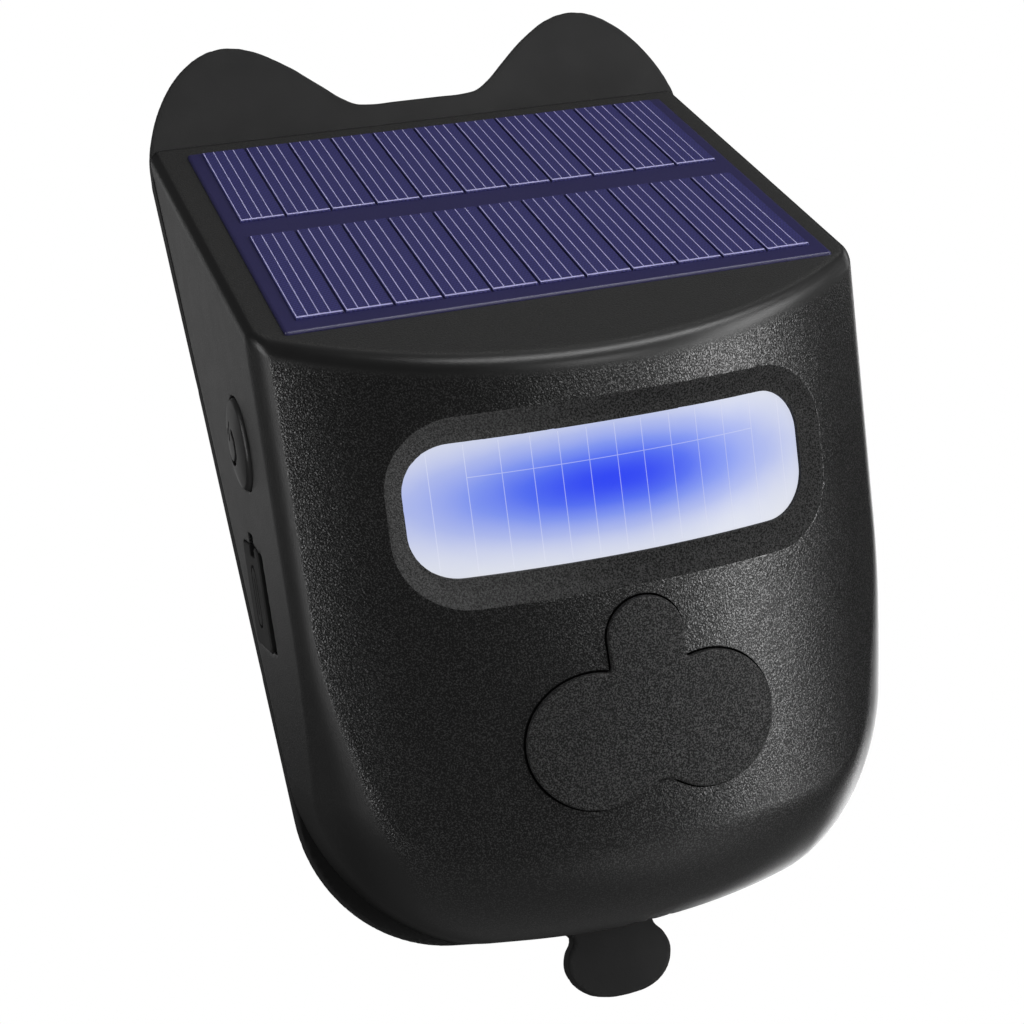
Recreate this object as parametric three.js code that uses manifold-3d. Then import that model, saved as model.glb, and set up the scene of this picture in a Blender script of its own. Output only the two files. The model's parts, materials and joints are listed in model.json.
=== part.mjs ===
// Solar ultrasonic pest repeller for a wall: wedge-shaped weatherproof housing
// with a sloping solar panel on top, a light window and a raised three-lobed
// pad on the front, a push button and a charging socket with a rubber flap on
// the left side (-X), and a flat rear cover whose outline carries two ears and
// a tail. Units are millimetres, +Z up, the wall is the plane Y = 0 and the
// front looks along -Y.
import * as THREE from "three";
import { mergeVertices } from "three/addons/utils/BufferGeometryUtils.js";
import { ConvexGeometry } from "three/addons/geometries/ConvexGeometry.js";
import Module from "manifold-3d";

const wasm = await Module();
wasm.setup();

// ---------------------------------------------------------------- dimensions
const DEGREE = Math.PI / 180;

const COVER_T = 3.0;          // rear cover plate thickness
const SEAM = 0.3;             // seam between cover and housing
const REAR_Y = -COVER_T - SEAM; // rear edge of the housing
const HALF_WIDTH = 43.3;      // half width at the front edge of the panel
const TAPER = 0.012;          // sides draw in towards the bottom, mm per mm
const SLOPE_OFFSET = 65.0;    // top face: Z = Y + SLOPE_OFFSET (45 degrees)
const LEAN = 20.5 * DEGREE;   // front face leans out at the top
const FACE_Y = -49.0;         // origin of the leaning face frame (panel front edge)
const FACE_Z = 16.0;
const FRONT_R = 71.0;         // plan radius of the bowed front
const FRONT_APEX = -14.0;     // foremost line of the front, in the face frame
const BOW_CENTRE = FRONT_APEX + FRONT_R;
const BOTTOM_Z = -66.9;       // lowest line of the housing
const BOTTOM_CROWN = 120.0;   // radius of the slightly crowned bottom
const CORNER_R = 17.0;        // bottom corners of the front
const REAR_R = 23.0;          // bottom corners at the wall
const CHIN_R = 12.0;          // front-to-bottom rounding
const EDGE_R = 2.3;           // side-to-front rounding
const RIM_R = 1.8;            // rounding round the top face
const WALL = 2.3;             // moulded wall thickness
const GAP = 0.3;              // assembly gap

// in the slope frame: along runs up the slope from the panel's front edge
const PANEL = { width: 78.0, length: 61.0, x: 0.4 };
const CELLS = { width: 74.0, count: 11, gap: 0.12, lower: [2.9, 29.2], upper: [34.3, 60.2] };

// in the face frame; dish is the shallow surround of the window
const DISH = { width: 61.8, height: 25.1, radius: 9.5, x: 0.5, z: -24.95, depth: 0.6, slope: 0.25 };
const LENS = { width: 55.6, height: 17.4, radius: 6.2, x: -0.3, z: -24.6, sunk: 1.3 };
const PAD = {
  topZ: -44.3, topR: 5.3, sideX: 8.0, sideZ: -57.2, sideRx: 9.45, sideRz: 9.2,
  footZ: -63.9, proud: 0.7, sunk: 0.8,
};

// side controls, in the face frame
const SIDE_X = -43.1;         // outer side face at the height of the controls
const BUTTON = { y: 19.0, z: -15.0, radius: 6.5, proud: 1.5 };
const FLAP = { y: 24.5, z: -37.5, width: 10.4, height: 15.0, thickness: 1.4, radius: 1.2 };
const GROOVE = { width: 2.7, depth: 1.5 };
const NOTCH = { y: 23.2, z: FLAP.z + FLAP.height / 2 + 0.2 };
const SOCKET = { width: 8.94, height: 3.2, radius: 1.55, wall: 0.3 };

const BATTERY = { radius: 9.15, length: 65.0, x: 3.4, y: -17.6, z: 25.4 };
const SOUNDER = { radius: 8.1, height: 12.0, y: -15.6, floor: BOTTOM_Z + WALL };
const OUTLET = { radius: 7, slotWidth: 1.5, pitch: 2.8 };
const BOARD = { front: 9.0, back: 10.6 };   // main board faces, Y in the face frame
const BOSS_Y = -5.3;          // the screw bosses stop here, clear of the sealing cord
const LEAD_R = 0.6;

// X and Z of the cover screws, and of the main board pegs in the face frame
const SCREWS = [[-36.3, 40.0], [36.3, 40.0], [-33.2, -39.0], [33.2, -39.0]];
const PEGS = [[-34.2, -15.0], [34.2, -15.0], [-34.2, -58.0], [34.2, -58.0]];

const FINISH = {
  housing: { color: 0x242424, roughness: 0.62 },
  cover: { color: 0x2d2d2d, roughness: 0.7 },
  gasket: { color: 0x15171a, roughness: 0.8 },
  screw: { color: 0x8d9094, roughness: 0.3, metalness: 1 },
  adhesive: { color: 0x1a1a1a, roughness: 0.9 },
  backboard: { color: 0x2a2850, roughness: 0.35 },
  cells: { color: 0x3a3868, roughness: 0.3 },
  lens: { color: 0xdfe6f4, roughness: 0.25, transparent: true, opacity: 0.6 },
  reflector: { color: 0xf1f1ee, roughness: 0.5 },
  circuitBoard: { color: 0x1f5a36, roughness: 0.55 },
  led: { color: 0xe9e7d2, roughness: 0.35 },
  motionSensor: { color: 0xb9bcc0, roughness: 0.3, metalness: 1 },
  lightSensor: { color: 0xc46a3a, roughness: 0.4 },
  chip: { color: 0x141414, roughness: 0.45 },
  coil: { color: 0x2b2320, roughness: 0.6 },
  capacitor: { color: 0x20242e, roughness: 0.35 },
  tactSwitch: { color: 0x1b1b1b, roughness: 0.5 },
  plunger: { color: 0xd8d4c8, roughness: 0.5 },
  button: { color: 0x2a2a2a, roughness: 0.55 },
  socket: { color: 0xb7babf, roughness: 0.3, metalness: 1 },
  tongue: { color: 0x161616, roughness: 0.5 },
  flap: { color: 0x222222, roughness: 0.8 },
  battery: { color: 0x2f6fb0, roughness: 0.4 },
  tray: { color: 0x1c1c1e, roughness: 0.6 },
  contact: { color: 0xc9b072, roughness: 0.3, metalness: 1 },
  sounderCan: { color: 0xa9adb2, roughness: 0.35, metalness: 1 },
  sounderCone: { color: 0xc2c6cc, roughness: 0.35, metalness: 1 },
  mesh: { color: 0x101010, roughness: 0.7 },
  pad: { color: 0x262626, roughness: 0.6 },
  redLead: { color: 0xb3201c, roughness: 0.5 },
  blackLead: { color: 0x151515, roughness: 0.5 },
};

// ------------------------------------------- solids, frames and the root group
// a "part" is either a three.js geometry or a manifold solid
const solid = (part) => {
  if (!part.isBufferGeometry) return part;
  const bare = part.index ? part.toNonIndexed() : part.clone();
  for (const name of Object.keys(bare.attributes)) {
    if (name !== "position") bare.deleteAttribute(name);
  }
  const merged = mergeVertices(bare, 1e-4);
  return new wasm.Manifold(new wasm.Mesh({
    numProp: 3,
    vertProperties: new Float32Array(merged.attributes.position.array),
    triVerts: new Uint32Array(merged.index.array),
  }));
};
const geometryOf = (part) => {
  if (part.isBufferGeometry) return part;
  const { vertProperties, numProp, triVerts } = part.getMesh();
  const count = vertProperties.length / numProp;
  const positions = new Float32Array(count * 3);
  for (let i = 0; i < count; i++) {
    for (let k = 0; k < 3; k++) positions[3 * i + k] = vertProperties[i * numProp + k];
  }
  const geometry = new THREE.BufferGeometry();
  geometry.setAttribute("position", new THREE.BufferAttribute(positions, 3));
  geometry.setIndex(new THREE.BufferAttribute(new Uint32Array(triVerts), 1));
  geometry.computeVertexNormals();
  return geometry;
};
const union = (...parts) => parts.map(solid).reduce((sum, part) => sum.add(part));
const cut = (body, ...tools) =>
  tools.map(solid).reduce((rest, tool) => rest.subtract(tool), solid(body));

const basis = (x, y, z) => new THREE.Matrix4().makeBasis(
  new THREE.Vector3(...x), new THREE.Vector3(...y), new THREE.Vector3(...z));
const LEAN_SIN = Math.sin(LEAN);
const LEAN_COS = Math.cos(LEAN);
// face frame: Z up along the leaning front face, Y into the housing
const FACE = new THREE.Matrix4().makeRotationX(LEAN).setPosition(0, FACE_Y, FACE_Z);
// slope frame: x across, y up the slope, z outwards from the top face
const SLOPE = basis([1, 0, 0], [0, Math.SQRT1_2, Math.SQRT1_2], [0, -Math.SQRT1_2, Math.SQRT1_2])
  .setPosition(0, FACE_Y, FACE_Z);
const YZ_TO_X = basis([0, 1, 0], [0, 0, 1], [1, 0, 0]);

const inFace = (part) => {
  const placed = geometryOf(part).applyMatrix4(FACE);
  return part.isBufferGeometry ? placed : solid(placed);
};
const onSlope = (geometry) => geometry.applyMatrix4(SLOPE);

const root = new THREE.Group();
const add = (name, part, finish) => {
  const mesh = new THREE.Mesh(geometryOf(part), new THREE.MeshStandardMaterial(finish));
  mesh.name = name;
  root.add(mesh);
};

// ------------------------------------------------------- outlines and shapes
const vectors2 = (points) => points.map(([x, y]) => new THREE.Vector2(x, y));
const roundRect = (width, height, radius, centreX, centreY, segments = 4) => {
  const reachX = width / 2 - radius;
  const reachY = height / 2 - radius;
  const corners = [[reachX, reachY], [-reachX, reachY], [-reachX, -reachY], [reachX, -reachY]];
  return corners.flatMap(([x, y], corner) => Array.from({ length: segments + 1 }, (_, i) => {
    const angle = (90 * corner + 90 * i / segments) * Math.PI / 180;
    return [centreX + x + radius * Math.cos(angle), centreY + y + radius * Math.sin(angle)];
  }));
};
const ellipse = (radiusX, radiusY, centreX, centreY, sides) =>
  Array.from({ length: sides }, (_, i) => {
    const angle = 2 * Math.PI * i / sides;
    return [centreX + radiusX * Math.cos(angle), centreY + radiusY * Math.sin(angle)];
  });
const circle = (radius, centreX, centreY, sides) =>
  ellipse(radius, radius, centreX, centreY, sides);

const extrude = (outline, depth, holes = []) => {
  const shape = new THREE.Shape(vectors2(outline));
  for (const hole of holes) shape.holes.push(new THREE.Path(vectors2(hole)));
  return new THREE.ExtrudeGeometry(shape, { depth, bevelEnabled: false, curveSegments: 1 });
};
// outline in (Y, Z), swept along X
const prismX = (outline, x0, x1) =>
  extrude(outline, x1 - x0).applyMatrix4(YZ_TO_X).translate(x0, 0, 0);
// outline in (X, Z), swept along Y
const prismY = (outline, y0, y1, holes) => extrude(outline, y1 - y0, holes)
  .applyMatrix4(new THREE.Matrix4().makeRotationX(Math.PI / 2)).translate(0, y1, 0);
// outline in (X, Y), swept along Z
const prismZ = (outline, z0, z1) => extrude(outline, z1 - z0).translate(0, 0, z0);

const cylinder = (radius, length, sides) =>
  new THREE.CylinderGeometry(radius, radius, length, sides);
const cylinderX = (radius, x0, x1, y, z, sides) =>
  cylinder(radius, x1 - x0, sides).rotateZ(-Math.PI / 2).translate((x0 + x1) / 2, y, z);
const cylinderY = (radius, y0, y1, x, z, sides) =>
  cylinder(radius, y1 - y0, sides).translate(x, (y0 + y1) / 2, z);
const cylinderZ = (radius, z0, z1, x, y, sides) =>
  cylinder(radius, z1 - z0, sides).rotateX(Math.PI / 2).translate(x, y, (z0 + z1) / 2);
const box = ([x0, x1], [y0, y1], [z0, z1]) => new THREE.BoxGeometry(x1 - x0, y1 - y0, z1 - z0)
  .translate((x0 + x1) / 2, (y0 + y1) / 2, (z0 + z1) / 2);
// the span reach to either side of a centre
const about = (centre, reach) => [centre - reach, centre + reach];
// profile of [radius, Y], turned about Y
const lathe = (profile, sides) => new THREE.LatheGeometry(vectors2(profile), sides);

// upright cylinder concentric with the bowed front, in the face frame
const bow = (inset, z0, z1) => cylinderZ(FRONT_R - inset, z0, z1, 0, BOW_CENTRE, 72);
// block deep enough to cross the bowed front, with an outline in (X, Z)
const faceBlock = (outline) => solid(prismY(outline, -16, 12));
// the layer of a block between two depths behind the bowed front
const bowedLayer = (block, from, to, z0, z1) =>
  cut(block.intersect(solid(bow(from, z0, z1))), bow(to, z0 - 1, z1 + 1));
const bowedPlate = (outline, from, to) => {
  const heights = outline.map((point) => point[1]);
  const z0 = Math.min(...heights) - 3;
  const z1 = Math.max(...heights) + 3;
  return bowedLayer(faceBlock(outline), from, to, z0, z1);
};

// ------------------------------------------------- outer form of the housing
// rounded maximum: joins two signed distances with a fillet
const roundMax = (a, b, radius) =>
  Math.min(Math.max(a, b), -radius) + Math.hypot(Math.max(a + radius, 0), Math.max(b + radius, 0));
// smooth step from 0 at start to 1 at end
const ramp = (x, start, end) => {
  const share = Math.min(1, Math.max(0, (x - start) / (end - start)));
  return share * share * (3 - 2 * share);
};
const sideAt = (z) => HALF_WIDTH + TAPER * (z - FACE_Z);
const bottomAt = (x) => BOTTOM_Z + x * x / (2 * BOTTOM_CROWN);
// distances outside each face of the form, negative within it
const faceDistances = (x, y, z) => {
  const faceY = (y - FACE_Y) * LEAN_COS + (z - FACE_Z) * LEAN_SIN;
  return {
    side: Math.abs(x) - sideAt(z),
    bottom: bottomAt(x) - z,
    front: Math.hypot(x, faceY - BOW_CENTRE) - FRONT_R,
    slope: (z - y - SLOPE_OFFSET) * Math.SQRT1_2,
  };
};
const form = (x, y, z) => {
  const { side, bottom, front, slope } = faceDistances(x, y, z);
  const cornerR = CORNER_R + (REAR_R - CORNER_R) * ramp(y, -32, -5);
  const frontR = EDGE_R + (CHIN_R - EDGE_R) * ramp(-z, 20, -BOTTOM_Z);
  return roundMax(roundMax(roundMax(side, bottom, cornerR), front, frontR), slope, RIM_R);
};
// by halving, the last value between low and high for which isBelow holds
const bisect = (low, high, steps, isBelow) => {
  for (let i = 0; i < steps; i++) {
    const middle = (low + high) / 2;
    if (isBelow(middle)) low = middle;
    else high = middle;
  }
  return low;
};
const turns = (count) => Array.from({ length: count }, (_, i) => 2 * Math.PI * i / count);
// (X, Z) outline of the form at a given inset, in the plane of one Y
const outlineAt = (inset, y, count) => {
  const angles = turns(count);
  // extra points round the two upper corners, where side and top face meet
  const corner = Math.atan2(y + SLOPE_OFFSET - inset * Math.SQRT2, HALF_WIDTH + 0.3 - inset);
  for (const offset of [-2.6, -0.8, -0.15, 0.15, 0.8, 2.6]) {
    angles.push(corner + offset * DEGREE, Math.PI - corner + offset * DEGREE);
  }
  angles.sort((a, b) => a - b);
  return angles.map((angle) => {
    const dx = Math.cos(angle);
    const dz = Math.sin(angle);
    const reach = bisect(0, 110, 40, (t) => form(dx * t, y, dz * t) + inset < 0);
    return [dx * reach, dz * reach];
  });
};

// Convex solid whose surface lies `inset` inside the form, closed at Y = yEnd.
// levels: heights in the face frame at which rays are cast all round
// spokes: number of rays in each level
// rimOffsets, edgeOffsets: degrees off the middle of the rim and of the
// side-to-front edge, where the rounding needs closer points
const insetForm = (inset, yEnd, { levels, spokes, rimOffsets, edgeOffsets }) => {
  const points = outlineAt(inset, yEnd, 48).map(([x, z]) => new THREE.Vector3(x, yEnd, z));
  const distance = (x, y, z) => Math.max(form(x, y, z) + inset, y - yEnd);
  const addPoint = (position, spacing) => {
    const point = new THREE.Vector3(...position);
    if (points.every((other) => other.distanceTo(point) > spacing)) points.push(point);
  };
  // ray from (0, y, z) to the surface: turn about the face frame's Z, then lift
  const cast = (y, z, turn, lift) => {
    const dx = Math.sin(turn) * Math.cos(lift);
    const inward = -Math.cos(turn) * Math.cos(lift);
    const upward = Math.sin(lift);
    const dy = inward * LEAN_COS - upward * LEAN_SIN;
    const dz = inward * LEAN_SIN + upward * LEAN_COS;
    const reach = bisect(0, 130, 40, (t) => distance(dx * t, y + dy * t, z + dz * t) < 0);
    return [dx * reach, y + dy * reach, z + dz * reach];
  };
  // a point in the middle of a flat face adds nothing to the convex solid
  const onFlat = (x, y, z) => {
    const { side, bottom, front, slope } = faceDistances(x, y, z);
    if (side + inset > -1e-3 && front + inset < -EDGE_R - 4 && bottom + inset < -REAR_R - 4) {
      return true;
    }
    return slope + inset > -1e-3 || y > yEnd - 1e-3;
  };
  const addCurved = (position) => {
    if (!onFlat(...position)) addPoint(position, 0.35);
  };

  // rim, where the top face rolls into the bowed front and the sides
  const castRim = (turn, lift) => cast(-25, 8, turn, lift);
  for (const turn of turns(spokes)) {
    if (Math.abs(Math.atan2(Math.sin(turn), Math.cos(turn))) > 1.75) continue;
    const rimLift = bisect(-0.6, 1.5, 30, (lift) => {
      const { side, front, slope } = faceDistances(...castRim(turn, lift));
      return slope <= Math.max(side, front);
    });
    for (const offset of rimOffsets) addPoint(castRim(turn, rimLift + offset * DEGREE), 0.25);
  }
  for (const level of levels) {
    // rays start at Y = -20, and nearer the wall in the lowest levels
    const startY = -20 + 13 * ramp(-level, 74, 90);
    const depth = (startY - FACE_Y + level * LEAN_SIN) / LEAN_COS;
    const y = FACE_Y + depth * LEAN_COS - level * LEAN_SIN;
    const z = FACE_Z + depth * LEAN_SIN + level * LEAN_COS;
    if (distance(0, y, z) >= -0.05) continue;
    const edgeTurn = bisect(0.5, 1.9, 30, (turn) => {
      const { side, front } = faceDistances(...cast(y, z, turn, 0));
      return front > side;
    });
    for (const offset of edgeOffsets) {
      for (const sign of [-1, 1]) addCurved(cast(y, z, sign * (edgeTurn + offset * DEGREE), 0));
    }
    for (const turn of turns(spokes)) addCurved(cast(y, z, turn, 0));
  }
  return new ConvexGeometry(points);
};

// ------------------------------------------------------------ front housing
const windowRect = (grow) => roundRect(
  LENS.width + 2 * grow, LENS.height + 2 * grow, LENS.radius + grow, LENS.x, LENS.z);

// layer of the three-lobed pad between two depths: top disc, two side lobes, stem
const padPlate = (grow, from, to) => {
  const lobe = (x) =>
    faceBlock(ellipse(PAD.sideRx + grow, PAD.sideRz + grow, x, PAD.sideZ, 30));
  const stem = roundRect(2 * (PAD.topR + grow) - 0.2, PAD.topZ - PAD.footZ + grow, 0.5,
    0, (PAD.topZ + PAD.footZ - grow) / 2);
  const block = union(faceBlock(circle(PAD.topR + grow, 0, PAD.topZ, 26)),
    lobe(-PAD.sideX), lobe(PAD.sideX), faceBlock(stem));
  return bowedLayer(block, from, to, -80, -30);
};

// dished surround of the window: runs out at its outer outline, full depth inside
const dish = () => {
  // upper and lower rows of a rounded rectangle laid on the bowed front
  const ring = (depth) => {
    const grow = -depth / DISH.slope;
    const halfWidth = DISH.width / 2 + grow;
    const halfHeight = DISH.height / 2 + grow;
    const radius = DISH.radius + grow;
    const row = [];
    for (let i = 0; i <= 5; i++) {
      const angle = (i / 5) * Math.PI / 2;
      row.push([-halfWidth + radius - radius * Math.cos(angle),
        halfHeight - radius + radius * Math.sin(angle)]);
    }
    for (let i = -2; i <= 2; i++) row.push([i * 7, halfHeight]);
    for (let i = 5; i >= 0; i--) row.push([-row[i][0], row[i][1]]);
    return [1, -1].map((sign) => row.map(([x, z]) => new THREE.Vector3(
      x + DISH.x,
      BOW_CENTRE - Math.sqrt((FRONT_R - depth) ** 2 - (x + DISH.x) ** 2),
      sign * z + DISH.z)));
  };
  // the outer ring floats 1 mm in front, so the slope meets the face at the outline
  const [outerTop, outerLow] = ring(-1.0);
  const [innerTop, innerLow] = ring(DISH.depth);
  const corners = [];
  const quad = (a, b, c, d) => corners.push(a, b, c, a, c, d);
  const last = outerTop.length - 1;
  for (let i = 0; i < last; i++) {
    quad(outerLow[i], outerLow[i + 1], outerTop[i + 1], outerTop[i]);
    quad(innerTop[i], innerTop[i + 1], innerLow[i + 1], innerLow[i]);
    quad(outerTop[i], outerTop[i + 1], innerTop[i + 1], innerTop[i]);
    quad(innerLow[i], innerLow[i + 1], outerLow[i + 1], outerLow[i]);
  }
  quad(outerLow[0], outerTop[0], innerTop[0], innerLow[0]);
  quad(outerTop[last], outerLow[last], innerLow[last], innerTop[last]);
  return solid(new THREE.BufferGeometry().setFromPoints(corners));
};

const shell = () => cut(
  insetForm(0, REAR_Y, {
    levels: [-11, -24, -38, -50, -57, -62, -66, -70, -74, -78, -82, -86, -90],
    spokes: 30,
    rimOffsets: [-5, -1.8, -0.5, 0.5, 1.8, 5],
    edgeOffsets: [-4.5, -2.2, -0.9, 0.9, 2.2, 4.5],
  }),
  insetForm(WALL, 6, {
    levels: [-11, -30, -50, -62, -71, -78, -84, -88],
    spokes: 24,
    rimOffsets: [-3, 0, 3],
    edgeOffsets: [-2, 0, 2],
  }));

const addMountings = (body) => {
  // boss behind the window, following the bowed front
  const grow = 2.5;
  const bossRect = roundRect(
    DISH.width + 2 * grow, DISH.height + 2 * grow, DISH.radius + grow, 0, DISH.z);
  let housing = body.add(inFace(bowedPlate(bossRect, WALL - 0.5, 5.0)));
  // thick pad behind the charging flap
  const flapPad = prismX(roundRect(14.2, 15.4, 1.5, 22.7, -37.0, 2), -42.4, -39.4);
  housing = union(housing, inFace(flapPad));
  // screw bosses beside the rear opening, each with a web to the side wall
  const webEnd = 42.2;
  for (const [x, z] of SCREWS) {
    const web = box(x > 0 ? [x, webEnd] : [-webEnd, x], [-15.5, BOSS_Y], about(z, 1.4));
    housing = housing.add(union(cylinderY(3.4, -15.5, BOSS_Y, x, z, 14), web));
    housing = cut(housing, cylinderY(1.25, -14.6, 0, x, z, 10));
  }
  // four pegs carry the main board
  for (const [x, z] of PEGS) {
    const peg = solid(cylinderY(2.6, -14, BOARD.front - GAP, x, z, 12))
      .intersect(solid(bow(WALL - 0.5, z - 4, z + 4)));
    housing = housing.add(inFace(peg));
    housing = cut(housing, inFace(cylinderY(0.9, 2.5, 9.5, x, z, 8)));
  }
  return housing;
};

const frontCuts = () => [
  inFace(dish()),
  inFace(prismY(windowRect(0.3), -20, 12)),
  inFace(padPlate(GAP, -4, PAD.sunk)),
];

// solar panel recess in the top face, and the lead hole
const topCuts = () => [
  box(about(PANEL.x, PANEL.width / 2 + GAP), [-GAP, PANEL.length + GAP], [-1.5, 4]),
  prismZ(circle(2.6, -26, 52, 16), -9, 2),
].map(onSlope);

// button hole, flap recess, finger groove in front of it, notch above, socket opening
const sideCuts = () => {
  const outside = -50;
  const inside = -30;
  const grooveY = FLAP.y - (FLAP.width + GROOVE.width) / 2;
  const recess = roundRect(FLAP.width + 2 * GAP, FLAP.height + 2 * GAP, FLAP.radius + GAP,
    FLAP.y, FLAP.z, 3);
  const groove = roundRect(GROOVE.width, FLAP.height - 0.6, 0.5, grooveY, FLAP.z, 2);
  const notch = roundRect(3.0, 3.2, 0.4, NOTCH.y, NOTCH.z, 2);
  const opening = roundRect(5.0, 11.0, 2.4, FLAP.y, FLAP.z, 4);
  return [
    cylinderX(BUTTON.radius + GAP, outside, inside, BUTTON.y, BUTTON.z, 28),
    prismX(recess, outside, SIDE_X + FLAP.thickness + 0.35),
    prismX(groove, outside, SIDE_X + GROOVE.depth),
    prismX(notch, outside, SIDE_X + GROOVE.depth),
    prismX(opening, outside, inside),
  ].map(inFace);
};

// sound outlet: round group of slots in the underside
const outletSlots = () => [-2, -1, 0, 1, 2].map((slot) => {
  const x = slot * OUTLET.pitch;
  const halfLength = Math.sqrt(OUTLET.radius ** 2 - x * x);
  const outline = roundRect(OUTLET.slotWidth, 2 * halfLength, 0.74, x, SOUNDER.y, 2);
  return prismZ(outline, -75, -55);
});

const frontHousing = () => cut(
  addMountings(shell()), ...frontCuts(), ...topCuts(), ...sideCuts(), ...outletSlots());
add("front_housing", frontHousing(), FINISH.housing);

// --------------------------------------------------------------- rear cover
// right-hand ear as [X, Z], from the saddle over the ear down to the side
const EAR = [
  [7.5, 65.5], [10, 65.9], [12.2, 67.2], [15.2, 69.8], [18.4, 72.6], [21, 74.5],
  [24, 76.3], [27, 77.3], [29.5, 77.5], [32.5, 76.8], [35.5, 75], [38.3, 72.3],
  [40.6, 69], [42.4, 65.3], [43.5, 61.5], [43.93, 57],
];
// right half of the tail as [X, Z], from the bottom edge to the tip
const TAIL = [
  [6.2, -67.4], [6.4, -68.3], [7.3, -69.4], [7.9, -70.8], [8.0, -72.2],
  [7.5, -73.8], [6.4, -75.3], [4.7, -76.5], [2.5, -77.15], [0, -77.3],
];
const coverOutline = () => {
  // bottom corner arc, tangent to the side and to the crowned bottom
  const crownR = BOTTOM_CROWN - REAR_R;
  const centreX = sideAt(-44) - REAR_R;
  const centreZ = BOTTOM_Z + BOTTOM_CROWN - Math.sqrt(crownR ** 2 - centreX ** 2);
  const sweep = Math.acos(centreX / crownR);
  const corner = Array.from({ length: 11 }, (_, i) => {
    const angle = (i / 10) * sweep;
    return [centreX + REAR_R * Math.cos(angle), centreZ - REAR_R * Math.sin(angle)];
  });
  const bottom = [
    [17, bottomAt(17)], [12, bottomAt(12)], [7.6, BOTTOM_Z + 0.2], [6.7, BOTTOM_Z - 0.05],
  ];
  const right = [...EAR, [sideAt(20), 20], [sideAt(-20), -20], ...corner, ...bottom, ...TAIL];
  // the tip lies on the centre line and is not mirrored
  const left = right.slice(0, -1).reverse().map(([x, z]) => [-x, z]);
  return [...right, ...left].reverse();
};

const rearCover = () => {
  const plateInside = -COVER_T + 0.5;   // inner parts overlap the plate by 0.5
  const lipY = -5.0;
  const keyZ = 38;
  const keySlotZ = keyZ + 1.5;
  const keyFloor = -4.7;
  // locating lip inside the housing opening
  const lip = prismY(outlineAt(WALL + 2.1, lipY, 30), lipY, plateInside,
    [outlineAt(WALL + 3.7, lipY, 30)]);
  let cover = union(prismY(coverOutline(), -COVER_T, 0), lip,
    ...SCREWS.map(([x, z]) => cylinderY(3.2, BOSS_Y + GAP, plateInside, x, z, 14)));
  for (const [x, z] of SCREWS) {
    cover = cut(cover, cylinderY(1.6, -9, 1, x, z, 10), cylinderY(3.2, -2.0, 1, x, z, 20));
  }
  // hanging keyhole, blind from the wall side, with a raised block closing it inside
  cover = union(cover, prismY(roundRect(13, 21, 5, 0, keySlotZ), -6.2, plateInside));
  return cut(cover,
    prismY(circle(4.2, 0, keyZ - 4, 20), keyFloor, 1),
    prismY(roundRect(4.2, 12, 2.09, 0, keySlotZ, 5), keyFloor, 1),
    prismY(roundRect(8.4, 13, 4.15, 0, keySlotZ, 6), keyFloor, -1.9));
};
add("rear_cover", rearCover(), FINISH.cover);

// silicone cord between the cover's lip and the housing wall
const coverGasket = () => {
  const front = -4.9;
  return prismY(outlineAt(WALL + 0.35, front, 30), front, REAR_Y,
    [outlineAt(WALL + 1.6, front, 30)]);
};
add("cover_gasket", coverGasket(), FINISH.gasket);

// pan head screw with a cross recess
const coverScrew = (x, z) => {
  const body = lathe([
    [0, -13.5], [0.6, -13.5], [1.1, -12.4], [1.1, -1.85],
    [2.8, -1.85], [2.8, -0.95], [2.2, -0.45], [0, -0.35],
  ], 14).translate(x, 0, z);
  const depth = [-1.2, 0.5];
  const cross = union(box(about(x, 1.5), depth, about(z, 0.3)),
    box(about(x, 0.3), depth, about(z, 1.5)));
  return cut(body, cross);
};
SCREWS.forEach(([x, z], i) => add(`cover_screw_${i + 1}`, coverScrew(x, z), FINISH.screw));

// -------------------------------------------------------------- solar panel
const solarAdhesive = () =>
  box(about(PANEL.x, PANEL.width / 2 - 4), [4, PANEL.length - 12], [-1.3, -0.8]);
const solarBackboard = () =>
  solid(onSlope(box(about(PANEL.x, PANEL.width / 2), [0, PANEL.length], [-0.7, 0.45])));
// cells side by side, joined by the tab ribbon that runs beneath their front ends
const cellBlock = ([front, back]) => {
  const pitch = CELLS.width / CELLS.count;
  const ribbon = box(
    about(PANEL.x, CELLS.width / 2 - 0.3), [front + 0.5, front + 1.6], [0.50, 0.60]);
  const cells = Array.from({ length: CELLS.count }, (_, i) => {
    const x = PANEL.x - CELLS.width / 2 + pitch * i;
    return box([x + CELLS.gap, x + pitch - CELLS.gap], [front, back], [0.52, 0.72]);
  });
  return union(...[ribbon, ...cells].map(onSlope));
};
add("solar_adhesive", onSlope(solarAdhesive()), FINISH.adhesive);
add("solar_backboard", solarBackboard(), FINISH.backboard);
add("solar_cells_lower", cellBlock(CELLS.lower), FINISH.cells);
add("solar_cells_upper", cellBlock(CELLS.upper), FINISH.cells);

// ------------------------------------------------------------- light window
// bowed pane with a wider flange behind it
const windowLens = () =>
  union(bowedPlate(windowRect(0), LENS.sunk, 5.6), bowedPlate(windowRect(2.2), 5.3, 6.5));
const lightReflector = () =>
  cut(prismY(windowRect(2.4), 0.2, 2.7), prismY(windowRect(0.6), -2, 4));
const lampBoard = () => prismY(roundRect(63, 27, 1.5, 0, LENS.z, 2), 3.0, 4.2);
const strobeLed = (x) => union(
  box(about(x, 1.75), [2.0, 2.95], about(LENS.z, 1.4)),
  cylinderY(1.25, 1.55, 2.1, x, LENS.z, 20));
const motionSensor = () => lathe([
  [0, -0.9], [3.8, -0.9], [4.1, -0.6], [4.1, 2.3], [4.6, 2.45], [4.6, 2.85], [0, 2.85],
], 28).translate(17, 0, LENS.z);
const lightSensor = () => cylinderY(2.5, 0.9, 2.85, -17, LENS.z, 24);

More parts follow.
